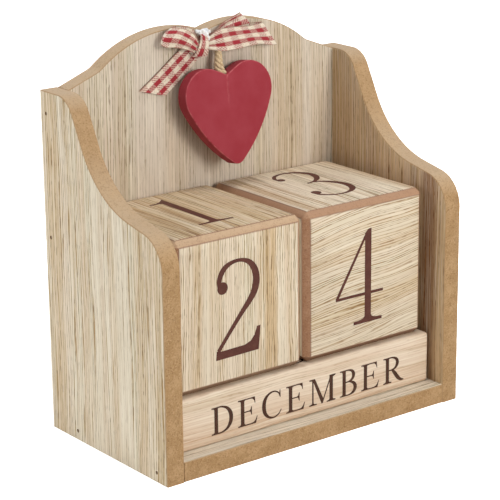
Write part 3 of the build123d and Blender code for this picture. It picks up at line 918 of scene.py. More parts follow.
def stem(x0, x1, y0, y1):
    """An upright or level bar."""
    return [[(x0, y0), (x1, y0), (x1, y1), (x0, y1)]]


def foot(x0, x1, stem0, stem1, y, up, height=100):
    """A thin slab with curved brackets that grow into the stem."""
    slab, top = y + up * SERIF * height, y + up * (SERIF + BRACKET) * height
    right = bent((x1, slab), (stem1, slab), (stem1, top))
    left = bent((stem0, top), (stem0, slab), (x0, slab))
    return [[(x0, y), (x1, y)] + right + left]


def line(x0, y0, x1, y1, width0, width1):
    """A slanting stroke, its widths measured level."""
    return [[(x0 - width0 / 2, y0), (x0 + width0 / 2, y0), (x1 + width1 / 2, y1), (x1 - width1 / 2, y1)]]


def dot(x, y, radius):
    """A round ball."""
    return [[(x + radius * cos(2 * pi * i / 24), y + radius * sin(2 * pi * i / 24)) for i in range(24)]]


def poly(*corners):
    """A shape with straight sides."""
    return [list(corners)]


def pen(*marks, steps=8):
    """A curved stroke through (x, y, width) marks, as a row of narrow quads."""
    marks = [Vector(m) for m in marks]
    marks = [2 * marks[0] - marks[1], *marks, 2 * marks[-1] - marks[-2]]
    path = [smooth_between(*four, i / steps) for four in zip(marks, marks[1:], marks[2:], marks[3:])
            for i in range(steps)]
    path.append(marks[-2])
    edges = []
    for i, here in enumerate(path):
        ahead = (path[min(i + 1, len(path) - 1)] - path[max(i - 1, 0)]).xy.normalized()
        side = Vector((-ahead.y, ahead.x)) * here.z / 2
        edges.append((tuple(here.xy - side), tuple(here.xy + side)))
    return [[a[0], b[0], b[1], a[1]] for a, b in zip(edges, edges[1:])]


print("a serif foot has", len(foot(0, 10, 3, 7, 0, 1)[0]), "corners, and a ball has", len(dot(0, 0, 1)[0]))

# %% The numerals, in millimetres over the line they stand on


def half_zero(sign):
    """The 0 from its top to its foot, round one side."""
    return pen((0, 31.0, 1.0), (sign * 4.6, 28.4, 1.9), (sign * 7.1, 22, 2.7), (sign * 7.6, 15.8, 2.9),
               (sign * 7.1, 9.6, 2.7), (sign * 4.6, 3.2, 1.9), (0, 0.6, 1.0))


NUMERALS = {
    "0": half_zero(-1) + half_zero(1),
    "1": stem(-2.05, 0.65, 1, 29) + foot(-7.2, 5.8, -2.05, 0.65, 0, 1, 22)
    + poly((0.65, 31.7), (-0.5, 30.5), (-1.7, 29.5), (-3.3, 28.8), (-6.5, 28.3), (-6.5, 27.7), (-3, 27.7), (0.65, 26)),
    "2": dot(-6.9, 22.8, 2.0)
    + pen((-8.0, 22.9, 1.6), (-8.0, 25.9, 1.9), (-6.3, 28.8, 1.9), (-3.5, 30.3, 1.35), (0, 30.6, 1.15),
          (3.3, 29.4, 1.7), (5.4, 26.8, 2.35), (6.1, 23.5, 2.65), (5.4, 20.0, 2.6), (3.4, 17.0, 2.15),
          (0.4, 13.7, 1.7), (-4.0, 8.6, 1.45), (-8.8, 2.8, 1.35))
    + poly((-9.75, 0), (6.8, 0.25), (7.6, 8.1), (6.2, 8.0), (5.2, 5.4), (3.7, 3.7), (1.3, 2.85), (-7.7, 2.65),
           (-9.5, 3.0)),
    "3": dot(-5.6, 26.1, 1.45) + dot(-6.3, 6.9, 1.75)
    + pen((-6.6, 26.4, 0.9), (-6.2, 28.8, 1.3), (-4.0, 31.3, 1.3), (0, 32.4, 1.1), (4.2, 31.0, 1.8),
          (6.9, 27.4, 2.35), (6.9, 23.6, 2.35), (4.9, 20.2, 1.8), (1.8, 18.1, 1.05), (-1.3, 17.4, 0.9))
    + pen((0.4, 17.9, 0.8), (3.0, 17.2, 1.2), (5.9, 14.6, 1.9), (7.9, 9.9, 2.45), (7.3, 5.3, 2.4), (4.7, 2.1, 1.7),
          (0.5, 0.6, 1.1), (-3.6, 1.3, 1.1), (-6.5, 3.8, 1.5), (-7.4, 6.8, 1.3)),
    "4": stem(-0.45, 2.25, 1, 30.4) + stem(-12.6, 7.35, 9.45, 10.4) + foot(-5.1, 6.9, -0.45, 2.25, 0, 1, 24)
    + poly((-0.45, 28.1), (2.25, 28), (2.25, 31.6), (1.1, 31.5), (0.3, 30.9), (-0.4, 29.9), (-12.7, 10.3),
           (-12.6, 9.5), (-11.6, 9.9)),
    "5": stem(-5.6, 5.6, 28.6, 31.2) + poly((5.0, 28.6), (5.0, 31.2), (6.7, 32.6), (6.1, 28.6))
    + line(-6.8, 16.4, -5.2, 31.0, 1.0, 1.2)
    + pen((-6.8, 16.8, 0.8), (-3.4, 18.8, 1.1), (0.6, 19.3, 1.5), (5.0, 17.0, 2.3), (7.3, 12, 2.9), (6.6, 6.2, 2.8),
          (3.4, 1.9, 1.9), (-1, 0.6, 1.1), (-5, 1.6, 1.2), (-7.2, 4.2, 1.3)) + dot(-6.2, 5.4, 1.75),
    "6": pen((6.4, 30.7, 0.8), (2.2, 29.3, 1.2), (-2.6, 25.6, 1.9), (-6.2, 19, 2.7), (-7.3, 11.5, 2.9),
             (-5.4, 4.4, 2.3), (-0.4, 0.6, 1.1), (4.6, 2.7, 2.1), (6.9, 8.0, 2.7), (6.2, 13.8, 2.5), (3.2, 17.6, 1.6),
             (-0.8, 18.3, 1.0), (-4.4, 16.2, 0.9), (-6.4, 12.8, 0.8)),
    "7": poly((-8.2, 23.8), (-7.8, 31.3), (7.9, 31.3), (7.9, 30.0), (7.2, 28.8), (-5.4, 28.8), (-6.4, 27.4),
              (-7.3, 23.8))
    + pen((7.1, 29.6, 1.3), (3.6, 21.8, 1.6), (0.2, 13, 2.2), (-1.6, 5, 2.8), (-1.9, 0, 2.9)),
    "8": pen((0, 31.0, 1.1), (-4.2, 29.1, 2.0), (-5.9, 25.0, 2.2), (-4.0, 20.6, 2.1), (0.4, 16.6, 2.3),
             (4.8, 12.4, 2.3), (6.9, 7.4, 2.0), (5.0, 2.5, 1.7), (0, 0.6, 1.1))
    + pen((0, 31.0, 1.1), (4.0, 29.3, 1.6), (5.6, 25.6, 1.6), (4.0, 21.2, 1.2), (0, 17.4, 1.0), (-4.8, 13.2, 1.5),
          (-7.0, 7.6, 2.4), (-4.8, 2.3, 2.0), (0, 0.6, 1.1)),
}

print(len(NUMERALS), "numerals drawn")

# %% The capitals, 100 units high, each with its width
THICK0, THICK1 = 14, 29.5  # a left stem's two sides
left_stem = stem(THICK0, THICK1, 0, 100)
upper_foot, lower_foot = foot(2, 40, THICK0, THICK1, 100, -1), foot(2, 42, THICK0, THICK1, 0, 1)
bowl_upper_foot, bowl_lower_foot = foot(2, 30, THICK0, THICK1, 100, -1), foot(2, 30, THICK0, THICK1, 0, 1)
top_arm = stem(20, 75, 95.5, 100) + poly((52, 96), (76, 100), (78, 76), (75.5, 76), (72, 87), (65, 94))
middle_arm = stem(25, 56, 49, 53.5) + poly((46, 51.2), (56, 56), (60, 67), (62.5, 67), (62.5, 36), (60, 36), (56, 47))
bottom_arm = stem(20, 80, 0, 4.5) + poly((56, 4), (80, 0), (87, 26), (84.5, 26), (78, 13), (70, 6.5))


def half_ring(sign):
    """The O from its top to its foot, round one side."""
    return pen((52, 98, 5.5), (52 + sign * 24, 91, 10), (52 + sign * 40, 72, 15.5), (52 + sign * 43.5, 50, 17),
               (52 + sign * 40, 28, 15.5), (52 + sign * 24, 9, 10), (52, 2, 5.5))


open_ring = pen((80, 79, 4), (72, 91, 5), (54, 98, 5.5), (32, 93, 8), (15, 76, 14), (9.5, 50, 16.5), (15, 24, 14),
                (32, 6.5, 8.5), (54, 1.5, 5.5), (74, 9, 5), (87, 25, 3.5))
open_ring_serif = poly((77, 80), (80, 99), (83, 99), (84, 71), (81, 71))
CAPITALS = {
    "A": (106, line(47, 99, 14, 2, 7, 6) + line(49, 100, 86, 2, 15, 17) + stem(25, 72, 34, 38.5)
          + foot(0, 31, 11, 17, 0, 1) + foot(66, 106, 78, 95, 0, 1)),
    "B": (82, left_stem + bowl_lower_foot + bowl_upper_foot
          + pen((24, 97.5, 5), (44, 97, 6), (60, 90, 11), (66, 76, 15), (60, 61, 11), (44, 53.5, 6), (24, 53, 4.5))
          + pen((24, 53, 4.5), (48, 52, 6), (67, 43, 12), (74, 27, 16), (66, 11, 12), (48, 3, 6), (24, 2.5, 5))),
    "C": (88, open_ring + open_ring_serif),
    "D": (95, left_stem + bowl_lower_foot + bowl_upper_foot
          + pen((24, 97.5, 5), (46, 97, 6), (68, 88, 10), (82, 70, 15), (86, 50, 16.5), (82, 30, 15), (68, 12, 10),
                (46, 3, 6), (24, 2.5, 5))),
    "E": (87, left_stem + upper_foot + lower_foot + top_arm + middle_arm + bottom_arm),
    "F": (78, left_stem + upper_foot + lower_foot + top_arm + middle_arm),
    "G": (98, open_ring + open_ring_serif + stem(74, 89.5, 4, 42) + foot(62, 99, 74, 89.5, 46, -1)),
    "H": (112, left_stem + stem(82, 97.5, 0, 100) + stem(28, 84, 50, 54.5) + upper_foot + lower_foot
          + foot(70, 110, 82, 97.5, 100, -1) + foot(70, 110, 82, 97.5, 0, 1)),
    "I": (46, left_stem + upper_foot + lower_foot),
    "J": (54, stem(24, 39.5, 20, 100) + foot(12, 52, 24, 39.5, 100, -1) + dot(6, 8, 7)
          + pen((31.7, 24, 15.5), (29, 6, 12), (18, -2, 6), (4, 4, 5))),
    "L": (88, left_stem + upper_foot + lower_foot + bottom_arm),
    "M": (122, stem(14, 20.5, 0, 100) + foot(0, 35, 14, 20.5, 0, 1)
          + poly((1, 100), (27, 100), (67, 14), (61, 0), (57, 0), (18, 93), (1, 95.5))
          + line(60, 0, 101, 98, 5.5, 6) + stem(94, 110, 0, 100) + foot(81, 122, 94, 110, 0, 1)
          + poly((98, 100), (122, 100), (122, 95.5), (108, 90), (98, 90))),
    "N": (112, stem(16, 22.5, 0, 100) + foot(2, 37, 16, 22.5, 0, 1)
          + poly((2, 100), (28, 100), (98, 16), (98, 0), (92, 0), (18, 90), (2, 95.5))
          + stem(91.5, 98, 0, 100) + foot(79, 112, 91.5, 98, 100, -1)),
    "O": (104, half_ring(-1) + half_ring(1)),
    "P": (80, left_stem + upper_foot + lower_foot
          + pen((24, 97.5, 5), (46, 97, 6), (64, 89, 11), (70, 73, 15), (63, 56, 11), (46, 47.5, 6), (24, 47, 4.5))),
    "R": (101, left_stem + bowl_upper_foot + lower_foot
          + pen((24, 97.5, 5), (46, 97, 6), (64, 89, 11), (70, 74, 15), (63, 58, 11), (46, 50, 6), (24, 49.5, 4.5))
          + pen((43, 52, 8), (56, 37, 14), (72, 16, 15), (86, 4.5, 10), (101, 1.5, 3.5))),
    "S": (72, pen((63, 78, 4), (54, 92, 5), (36, 98, 6), (19, 90, 11), (13, 76, 13), (22, 62, 14), (42, 51, 16),
                  (60, 38, 15), (66, 24, 13), (58, 9, 10), (38, 1.5, 6), (20, 7, 5), (9, 26, 4))
          + poly((60, 80), (63, 99), (66, 99), (66, 72), (63, 72)) + poly((5, 0), (8, 0), (11, 20), (8, 30), (5, 30))),
    "T": (96, stem(40, 55.5, 0, 100) + foot(27, 69, 40, 55.5, 0, 1) + stem(6, 90, 95.5, 100)
          + poly((4, 100), (24, 96), (12, 90), (6, 76), (3.5, 76))
          + poly((92, 100), (92.5, 76), (90, 76), (84, 90), (72, 96))),
    "U": (102, stem(14, 29.5, 32, 100) + upper_foot
          + pen((21.7, 36, 15.5), (24, 16, 13), (37, 4, 8), (55, 1.5, 6.5), (75, 8, 6), (84.5, 22, 6), (86, 40, 6))
          + stem(83, 89, 38, 100) + foot(71, 102, 83, 89, 100, -1)),
    "V": (104, line(17, 98, 55, 0, 17, 9) + line(55, 0, 88, 98, 6, 6) + foot(0, 40, 8.5, 25.5, 100, -1)
          + foot(72, 104, 85, 91, 100, -1)),
    "Y": (102, line(18, 98, 50, 44, 17, 15) + line(84, 98, 54, 44, 6, 7) + stem(42, 57.5, 0, 46)
          + foot(28, 72, 42, 57.5, 0, 1) + foot(0, 38, 9.5, 26.5, 100, -1) + foot(70, 102, 81, 87, 100, -1)),
}
print(len(CAPITALS), "capitals drawn")

# %% Joining the strokes and laying down the ink
INK = 0.03  # how far the film of ink stands off the wood, in millimetres


def joined(strokes):
    """One flat triangle mesh of overlapping strokes: its points and triangles."""
    points, outlines = [], []
    for stroke in strokes:
        turn = sum(a[0] * b[1] - b[0] * a[1] for a, b in zip(stroke, stroke[1:] + stroke[:1]))
        outlines.append(list(range(len(points), len(points) + len(stroke))))
        points += [Vector(p) for p in (stroke if turn > 0 else stroke[::-1])]
    flat, _, triangles, _, _, inside = delaunay_2d_cdt(points, [], outlines, 1, 1e-4)
    return flat, [triangle for triangle, strokes_here in zip(triangles, inside) if strokes_here]


def film(shapes, place):
    """Points and faces of ink on a face: each flat shape raised, lowered and walled round."""
    points, faces = [], []
    for flat, triangles in shapes:
        start, count = len(points), len(flat)
        points += [place(p[0], p[1], INK) for p in flat] + [place(p[0], p[1], -INK) for p in flat]
        rim = set()
        for triangle in triangles:
            faces.append([start + v for v in triangle])
            faces.append([start + count + v for v in reversed(triangle)])
            rim ^= {(a, b) for a, b in zip(triangle, triangle[1:] + triangle[:1])}
        outer = [(a, b) for a, b in rim if (b, a) not in rim]
        faces += [[start + a, start + count + a, start + count + b, start + b] for a, b in outer]
    return points, faces


def moved(shape, across, height, scale=1.0):
    """A flat shape, made larger or smaller and moved."""
    return [(p[0] * scale + across, p[1] * scale + height) for p in shape[0]], shape[1]


NUMERAL_HEIGHT = 31.2
TOP_LIFT, FOUR_LIFT = 1.2, -0.5  # how far a top's numeral and the 4 stand above the face's middle
DAYS = {"left_cube": {"front": "2", "top": "1", "left": "6", "right": "0", "rear": "7", "bottom": "8"},
        "right_cube": {"front": "4", "top": "3", "left": "5", "right": "0", "rear": "1", "bottom": "2"}}
numerals = {name: joined(strokes) for name, strokes in NUMERALS.items()}
for (cube, face), place in cube_faces.items():
    numeral = DAYS[cube][face]
    lift = TOP_LIFT if face == "top" else FOUR_LIFT if numeral == "4" else 0.0
    points, faces = film([moved(numerals[numeral], 0, lift - NUMERAL_HEIGHT / 2)], place)
    make_piece(f"{cube}_{face}_numeral", points, faces, day_ink, cube)
print(len(cube_faces), "numerals printed")

# %% The months
CAP_HEIGHT = 9.0
LETTER_GAP = 19  # in the units of the capitals
MONTH_SHIFT = 1.4  # how far the words stand to the right of a bar's middle
FRONT_LIFT, OTHER_LIFT = -1.1, 0.3  # and above it, in front and on the other faces
MONTHS = {"front": ("DECEMBER", "JANUARY", "FEBRUARY", "MARCH"), "middle": ("APRIL", "MAY", "JUNE", "JULY"),
          "rear": ("AUGUST", "SEPTEMBER", "OCTOBER", "NOVEMBER")}
capitals = {name: joined(strokes) for name, (_, strokes) in CAPITALS.items()}
for row, words in MONTHS.items():
    for face, word in zip(("front", "top", "rear", "bottom"), words):
        scale = CAP_HEIGHT / 100
        long = sum(CAPITALS[c][0] for c in word) + LETTER_GAP * (len(word) - 1)
        lift = FRONT_LIFT if face == "front" else OTHER_LIFT
        pen_at, shapes = MONTH_SHIFT - long * scale / 2, []
        for letter in word:
            shapes.append(moved(capitals[letter], pen_at, lift - CAP_HEIGHT / 2, scale))
            pen_at += (CAPITALS[letter][0] + LETTER_GAP) * scale
        points, faces = film(shapes, bar_faces[row, face])
        make_piece(f"{row}_bar_{face}_month", points, faces, month_ink, f"{row}_bar")
print(sum(len(words) for words in MONTHS.values()), "months printed")

# %% [markdown]
# ## The heart
#
# A four and a half millimetre sheet is sawn to a heart, its edges are just broken with sandpaper and it is
# painted red. It leans its lobes towards the back panel. The front is meshed with points all over and not as one
# big face, because it isn't quite flat: a fine crease runs down from the cleft and fades out.

# %% The heart's outline
lobe_radius, lobe_offset, point_drop, flank_radius, point_round = 9.0, 8.5, 24.4, 51.0, 3.1
cleft_height = 5.8  # over the lobes' centres
heart_thickness = 4.5
heart_edge = 0.35  # radius of the sanded edge
heart_middle = Vector((3.4, panel_y - 5.4, crest_height - 22.2))  # between the lobes' centres
# The point swings towards the reader's right, and the lobes lean towards the back panel.
heart_turn = Matrix.Rotation(radians(-8.2), 3, "X") @ Matrix.Rotation(radians(-2.6), 3, "Y")


def heart_outline():
    """The heart in its own plane, anticlockwise from the point: flank, lobe, cleft, lobe, flank."""
    reach = flank_radius - lobe_radius
    lobe, point = Vector((lobe_offset, 0)), Vector((0, -point_drop))
    toward = (point - lobe).normalized()
    to_point = (point - lobe).length
    chord_foot = (reach**2 + to_point**2 - flank_radius**2) / (2 * to_point)
    centre = lobe + toward * chord_foot + Vector((toward.y, -toward.x)) * sqrt(reach**2 - chord_foot**2)
    join = (lobe - centre).normalized()
    # The cleft's side is straight and touches the lobe.
    cleft = Vector((0, cleft_height))
    cleft_angle = bearing_of(cleft - lobe) - acos(lobe_radius / (cleft - lobe).length)
    crown = arc(lobe, lobe_radius, bearing_of(join), cleft_angle) + [tuple(cleft)]
    # A small arc inside both flanks rounds the point; it touches each on the line through the two centres.
    tip = Vector((0, centre.y - sqrt((flank_radius - point_round) ** 2 - centre.x**2)))
    touch = bearing_of(tip - centre)
    rounding = arc(tip, point_round, -pi / 2, touch)
    flank = arc(centre, flank_radius, touch, bearing_of(join))
    right_side = rounding[:-1] + flank[:-1] + crown
    left_side = [(-x, y) for x, y in reversed(right_side[1:-1])]
    return right_side + left_side


def put_heart(u, v, depth):
    """A place in the heart: across it, up it and behind its middle plane."""
    return tuple(heart_middle + heart_turn @ Vector((u, depth, v)))


heart_line = dense(heart_outline(), 0.7)
print("the heart's outline has", len(heart_line), "points")

# %% The heart's front and its crease
CREASE_SLOPE, CREASE_DEPTH, CREASE_HALF_WIDTH = 0.09, 0.14, 0.45  # it leans to the left on its way down
CREASE_END = -6.0  # its lower end, from the lobes' centres
MESH_STEP, CREASE_STEP = 1.1, (0.22, 0.5)  # between the points all over the front, and along the crease


def is_inside(point, outline):
    """Whether a point lies inside a closed outline: a level line from it crosses the outline an odd number of times."""
    crossings = 0
    for (x0, y0), (x1, y1) in zip(outline, outline[1:] + outline[:1]):
        if (y0 > point[1]) != (y1 > point[1]) and point[0] < x0 + (point[1] - y0) * (x1 - x0) / (y1 - y0):
            crossings += 1
    return crossings % 2 == 1


def edge_gap(point, outline):
    """Distance from a point to the nearest point of an outline."""
    return min(hypot(point[0] - x, point[1] - y) for x, y in outline)


def off_crease(u, v):
    """How far a place is from the crease, which runs down from the cleft and a little to the left."""
    return abs(u + CREASE_SLOPE * (cleft_height - v))


def front_dip(u, v):
    """How far the front lies under its own level: a crease that fades out below the cleft."""
    if v > cleft_height:
        return 0.0
    fading = min(1.0, max(0.0, (v - CREASE_END) / 5))
    return CREASE_DEPTH * max(0.0, 1 - off_crease(u, v) / CREASE_HALF_WIDTH) * fading


def heart_mesh():
    """Points and faces of the heart: a wall with rounded edges, a plain back and a front with points all over."""
    points = []
    count = len(heart_line)
    # From the back face, round its edge, along the wall, round the front edge.
    back = heart_thickness / 2
    profile = [(heart_edge * (1 - sin(pi / 2 * i / 5)), back - heart_edge * (1 - cos(pi / 2 * i / 5)))
               for i in range(6)]
    profile += [(drawn, -depth) for drawn, depth in reversed(profile)]
    for drawn, depth in profile:
        points += [put_heart(p[0], p[1], depth) for p in inset(heart_line, [drawn] * count)]
    faces = walls(len(profile), count)
    face_line = [tuple(p) for p in inset(heart_line, [heart_edge] * count)]
    grid = [(u * MESH_STEP, v * MESH_STEP) for u in range(-16, 17) for v in range(-24, 10)]
    grid += [(u * CREASE_STEP[0] - CREASE_SLOPE * (cleft_height - v * CREASE_STEP[1]), v * CREASE_STEP[1])
             for u in range(-3, 4) for v in range(-14, 11)]
    grid = [p for p in grid if is_inside(p, face_line) and edge_gap(p, face_line) > 0.35]
    for start, depth, side in ((0, back, -1), (len(points) - count, -back, 1)):
        flat, _, triangles, origin, _, inside = delaunay_2d_cdt(
            [Vector(p) for p in face_line + (grid if side > 0 else [])], [], [list(range(count))], 1, 1e-5)
        index = {}
        for k, sources in enumerate(origin):
            edge = [s for s in sources if s < count]
            if edge:
                index[k] = start + edge[0]
            else:
                index[k] = len(points)
                points.append(put_heart(flat[k].x, flat[k].y, depth + front_dip(flat[k].x, flat[k].y)))
        faces += [tuple(index[v] for v in t) for t, kept in zip(triangles, inside) if kept]
    return points, faces


print("the crease is", CREASE_DEPTH, "mm deep below the cleft and fades out to", front_dip(0.6, CREASE_END))

# %% The heart
points, faces = heart_mesh()
heart = make_piece("heart_of_painted_board", points, faces, heart_paint, "heart", ["heart"], sharp=50)
paler_tone = heart.data.attributes.new("paler_tone", "FLOAT", "POINT")
count = len(heart_line)
# The front edge and the sides of the crease carry a painted highlight, its strength stored on the mesh.
EDGE_HIGHLIGHT, CREASE_HIGHLIGHT, HIGHLIGHT_WIDTH = 0.9, 0.6, 0.6
for k, vertex in enumerate(heart.data.vertices):
    in_heart = heart_turn.transposed() @ (vertex.co / MM - heart_middle)
    on_edge = EDGE_HIGHLIGHT if 7 * count <= k < 11 * count else 0.0  # these rows of points go round the front edge
    fading = min(1.0, max(0.0, (in_heart.z - CREASE_END) / 6))
    beside_crease = CREASE_HIGHLIGHT * max(0.0, 1 - off_crease(in_heart.x, in_heart.z) / HIGHLIGHT_WIDTH) * fading
    paler_tone.data[k].value = max(on_edge, beside_crease if in_heart.y < 0 and in_heart.z < cleft_height + 1 else 0.0)
print("heart with", len(points), "points")

# %% [markdown]
# ## The twine
#
# Jute twine is laid: strands are twisted round each other, which gives the barber's-pole look. One cord of four
# strands goes from a hole in the cleft up to the bow, tight at the bow and loose where it enters the heart. A
# small node tree does the laying. It copies the path once for every strand and moves each copy's points sideways
# by an angle that turns along the way, so the number of strands, their thickness and the twist stay numbers that
# can be changed.

# %% A node tree that lays strands round a path


def laid_strands():
    """Geometry Nodes: strands twisted round a curve, spread by `Flare` between the bore and the far end."""
    tree = bpy.data.node_groups.new("laid strands", "GeometryNodeTree")
    sockets = {}
    for name, kind in (("Path", "Geometry"), ("Strands", "Int"), ("Strand radius", "Float"), ("Lay radius", "Float"),
                       ("Flare", "Float"), ("Bore", "Float"), ("Turns", "Float"), ("Finish", "Material")):
        sockets[name] = tree.interface.new_socket(name, in_out="INPUT", socket_type=f"NodeSocket{kind}").identifier
    tree.interface.new_socket("Twine", in_out="OUTPUT", socket_type="NodeSocketGeometry")
    given = add_node(tree, "NodeGroupInput").outputs
    path = add_node(tree, "GeometryNodeResampleCurve", {"Curve": given["Path"], "Count": 70}, mode="COUNT").outputs[0]
    copies = add_node(tree, "GeometryNodeDuplicateElements", {"Geometry": path, "Amount": given["Strands"]},
                      domain="SPLINE")
    share = add_node(tree, "ShaderNodeMath", {0: copies.outputs["Duplicate Index"], 1: given["Strands"]},
                     operation="DIVIDE")
    along_path = add_node(tree, "GeometryNodeSplineParameter").outputs["Factor"]
    turn = add_node(tree, "ShaderNodeMath", {0: along_path, 1: given["Turns"], 2: share.outputs[0]},
                    operation="MULTIPLY_ADD")
    angle = add_node(tree, "ShaderNodeMath", {0: turn.outputs[0], 1: 2 * pi}, operation="MULTIPLY").outputs[0]
    normal = add_node(tree, "GeometryNodeInputNormal").outputs[0]
    tangent = add_node(tree, "GeometryNodeInputTangent").outputs[0]
    other = add_node(tree, "ShaderNodeVectorMath", {0: tangent, 1: normal}, operation="CROSS_PRODUCT").outputs[0]
    to_end = add_node(tree, "ShaderNodeMath", {0: 1.0, 1: along_path}, operation="SUBTRACT").outputs[0]
    loose = add_node(tree, "ShaderNodeMath", {0: to_end, 1: 1.5}, operation="POWER").outputs[0]
    held = add_node(tree, "ShaderNodeMapRange", {0: along_path, 1: 0.04, 2: given["Bore"]},
                    interpolation_type="SMOOTHSTEP")
    loose = add_node(tree, "ShaderNodeMath", {0: loose, 1: held.outputs[0]}, operation="MULTIPLY").outputs[0]
    radius = add_node(tree, "ShaderNodeMath", {0: loose, 1: given["Flare"], 2: given["Lay radius"]},
                      operation="MULTIPLY_ADD").outputs[0]
    steps = []
    for direction, wave in ((normal, "COSINE"), (other, "SINE")):
        size = add_node(tree, "ShaderNodeMath", {0: angle}, operation=wave).outputs[0]
        size = add_node(tree, "ShaderNodeMath", {0: size, 1: radius}, operation="MULTIPLY").outputs[0]
        steps.append(add_node(tree, "ShaderNodeVectorMath", {0: direction, "Scale": size},
                              operation="SCALE").outputs[0])
    offset = add_node(tree, "ShaderNodeVectorMath", {0: steps[0], 1: steps[1]}).outputs[0]
    laid = add_node(tree, "GeometryNodeSetPosition", {"Geometry": copies.outputs["Geometry"],
                                                      "Offset": offset}).outputs[0]
    section = add_node(tree, "GeometryNodeCurvePrimitiveCircle",
                       {"Resolution": 12, "Radius": given["Strand radius"]}).outputs[0]
    tubes = add_node(tree, "GeometryNodeCurveToMesh", {"Curve": laid, "Profile Curve": section,
                                                       "Fill Caps": True}).outputs[0]
    whole = add_node(tree, "GeometryNodeRealizeInstances", {"Geometry": tubes}).outputs[0]
    finished = add_node(tree, "GeometryNodeSetMaterial", {"Geometry": whole, "Material": given["Finish"]}).outputs[0]
    add_node(tree, "NodeGroupOutput", {"Twine": finished})
    return tree, sockets


strand_tree, strand_inputs = laid_strands()
print("a tree with", len(strand_tree.nodes), "nodes and the inputs", ", ".join(strand_inputs))

# %% A path for the tree and the plain mesh it leaves


def baked(item, tree, sockets, name, **inputs):
    """The plain mesh that a node tree makes of an object. Inputs are named with _ for a space."""
    modifier = item.modifiers.new("nodes", "NODES")
    modifier.node_group = tree
    for key, value in inputs.items():
        modifier[sockets[key.replace("_", " ")]] = value
    mesh = plain_mesh(item)
    bpy.data.objects.remove(item)
    mesh.name = name
    return new_object(name, mesh)


def path_object(name, points):
    """A curve object, one smooth spline led by points in millimetres."""
    curve = bpy.data.curves.new(name, "CURVE")
    curve.dimensions = "3D"
    spline = curve.splines.new("NURBS")
    spline.points.add(len(points) - 1)
    for knot, point in zip(spline.points, points):
        knot.co = (*(Vector(point) * MM), 1)
    spline.order_u, spline.use_endpoint_u, spline.resolution_u = 3, True, 12
    return new_object(name, curve)


print("the cleft is at", *(round(v, 1) for v in put_heart(0, cleft_height, 0)), "mm, where the twine goes in")

# %% Twine
# Jute is dry and hairy: matt, with a pale sheen at the edge, and darker in small random patches of fibre.
jute, tree, surface = new_material("four-strand jute")
place = add_node(tree, "ShaderNodeTexCoord").outputs["Object"]
fibre = patches(tree, place, 0.35 * MM, 0.35, 0.7, 3.0)
shade = shade_over(tree, "#DCC6A2", "#A07C52", fibre, 0.7)
bump = add_node(tree, "ShaderNodeBump", {"Strength": 0.6, "Distance": 0.08 * MM, "Height": fibre})
yarn = add_node(tree, "ShaderNodeBsdfPrincipled", {
    "Base Color": shade, "Roughness": 0.85, "Specular IOR Level": 0.2, "Sheen Weight": 0.25, "Normal": bump.outputs[0]})
tree.links.new(yarn.outputs[0], surface.inputs["Surface"])

cord_path = [put_heart(0, cleft_height - 4.0, 0), put_heart(-0.3, cleft_height - 1.0, 0),
             (1.6, 21.0, 111.6), (1.7, 21.4, 113.8), (2.1, 21.9, 116.4), (2.3, 22.2, 118.4)]
twine = baked(path_object("twine path", cord_path), strand_tree, strand_inputs, "laid_twine", Strands=4,
              Strand_radius=0.56 * MM, Lay_radius=0.62 * MM, Flare=1.6 * MM, Bore=0.40, Turns=-2.1, Finish=jute)
finish_piece(twine, jute, "heart", ["heart_twine"], sharp=60)
print("twine with", len(twine.data.polygons), "faces")

# %% [markdown]
# ## Gingham ribbon
#
# Gingham is a plain weave with cream and red bands both ways. Where red crosses red the cloth is solid red, where
# red crosses cream the two mix thread by thread, and where cream crosses cream it is plain. The material follows
# that logic in the ribbon's own coordinates, in millimetres along and across the ribbon, so the bands follow every
# bend. The real threads are too fine to show at this size, so the weave is drawn about three times as coarse: two
# sets of slanting stripes that cross, whose common part is where a red thread lies on top.

# %% The gingham material
RIBBON_WIDTH, BAND, CHECK, WEAVE = 7.25, 1.45, 5.3, 0.92  # millimetres
DYE_BORDER = 0.12  # half the width over which a stripe fades
THREAD = 0.28  # spacing of the threads

gingham, tree, surface = new_material("woven gingham ribbon")
cloth_place = add_node(tree, "ShaderNodeUVMap", uv_map="ribbon").outputs[0]
lengthwise, crosswise = add_node(tree, "ShaderNodeSeparateXYZ", {0: cloth_place}).outputs[:2]


def stripes(coordinate, period, share):
    """1 on the part of each period that is dyed red, with a slightly soft border."""
    wave = add_node(tree, "ShaderNodeMath", {0: coordinate, 1: period / 2}, operation="PINGPONG").outputs[0]
    edge = period / 2 * (1 - share)
    return add_node(tree, "ShaderNodeMapRange", {0: wave, 1: edge - DYE_BORDER, 2: edge + DYE_BORDER}).outputs[0]


# The warp has its red bands second and fourth of five, and the weft one red band in each check.
from_edge = add_node(tree, "ShaderNodeMath", {0: crosswise, 1: BAND / 2}, operation="SUBTRACT").outputs[0]
warp = stripes(from_edge, 2 * BAND, 0.49)
weft = stripes(lengthwise, CHECK, 0.53)
rising = add_node(tree, "ShaderNodeMath", {0: lengthwise, 1: crosswise}).outputs[0]
falling = add_node(tree, "ShaderNodeMath", {0: lengthwise, 1: crosswise}, operation="SUBTRACT").outputs[0]
dots = add_node(tree, "ShaderNodeMath", {0: stripes(rising, WEAVE, 0.5), 1: stripes(falling, WEAVE, 0.85)},
                operation="MULTIPLY").outputs[0]
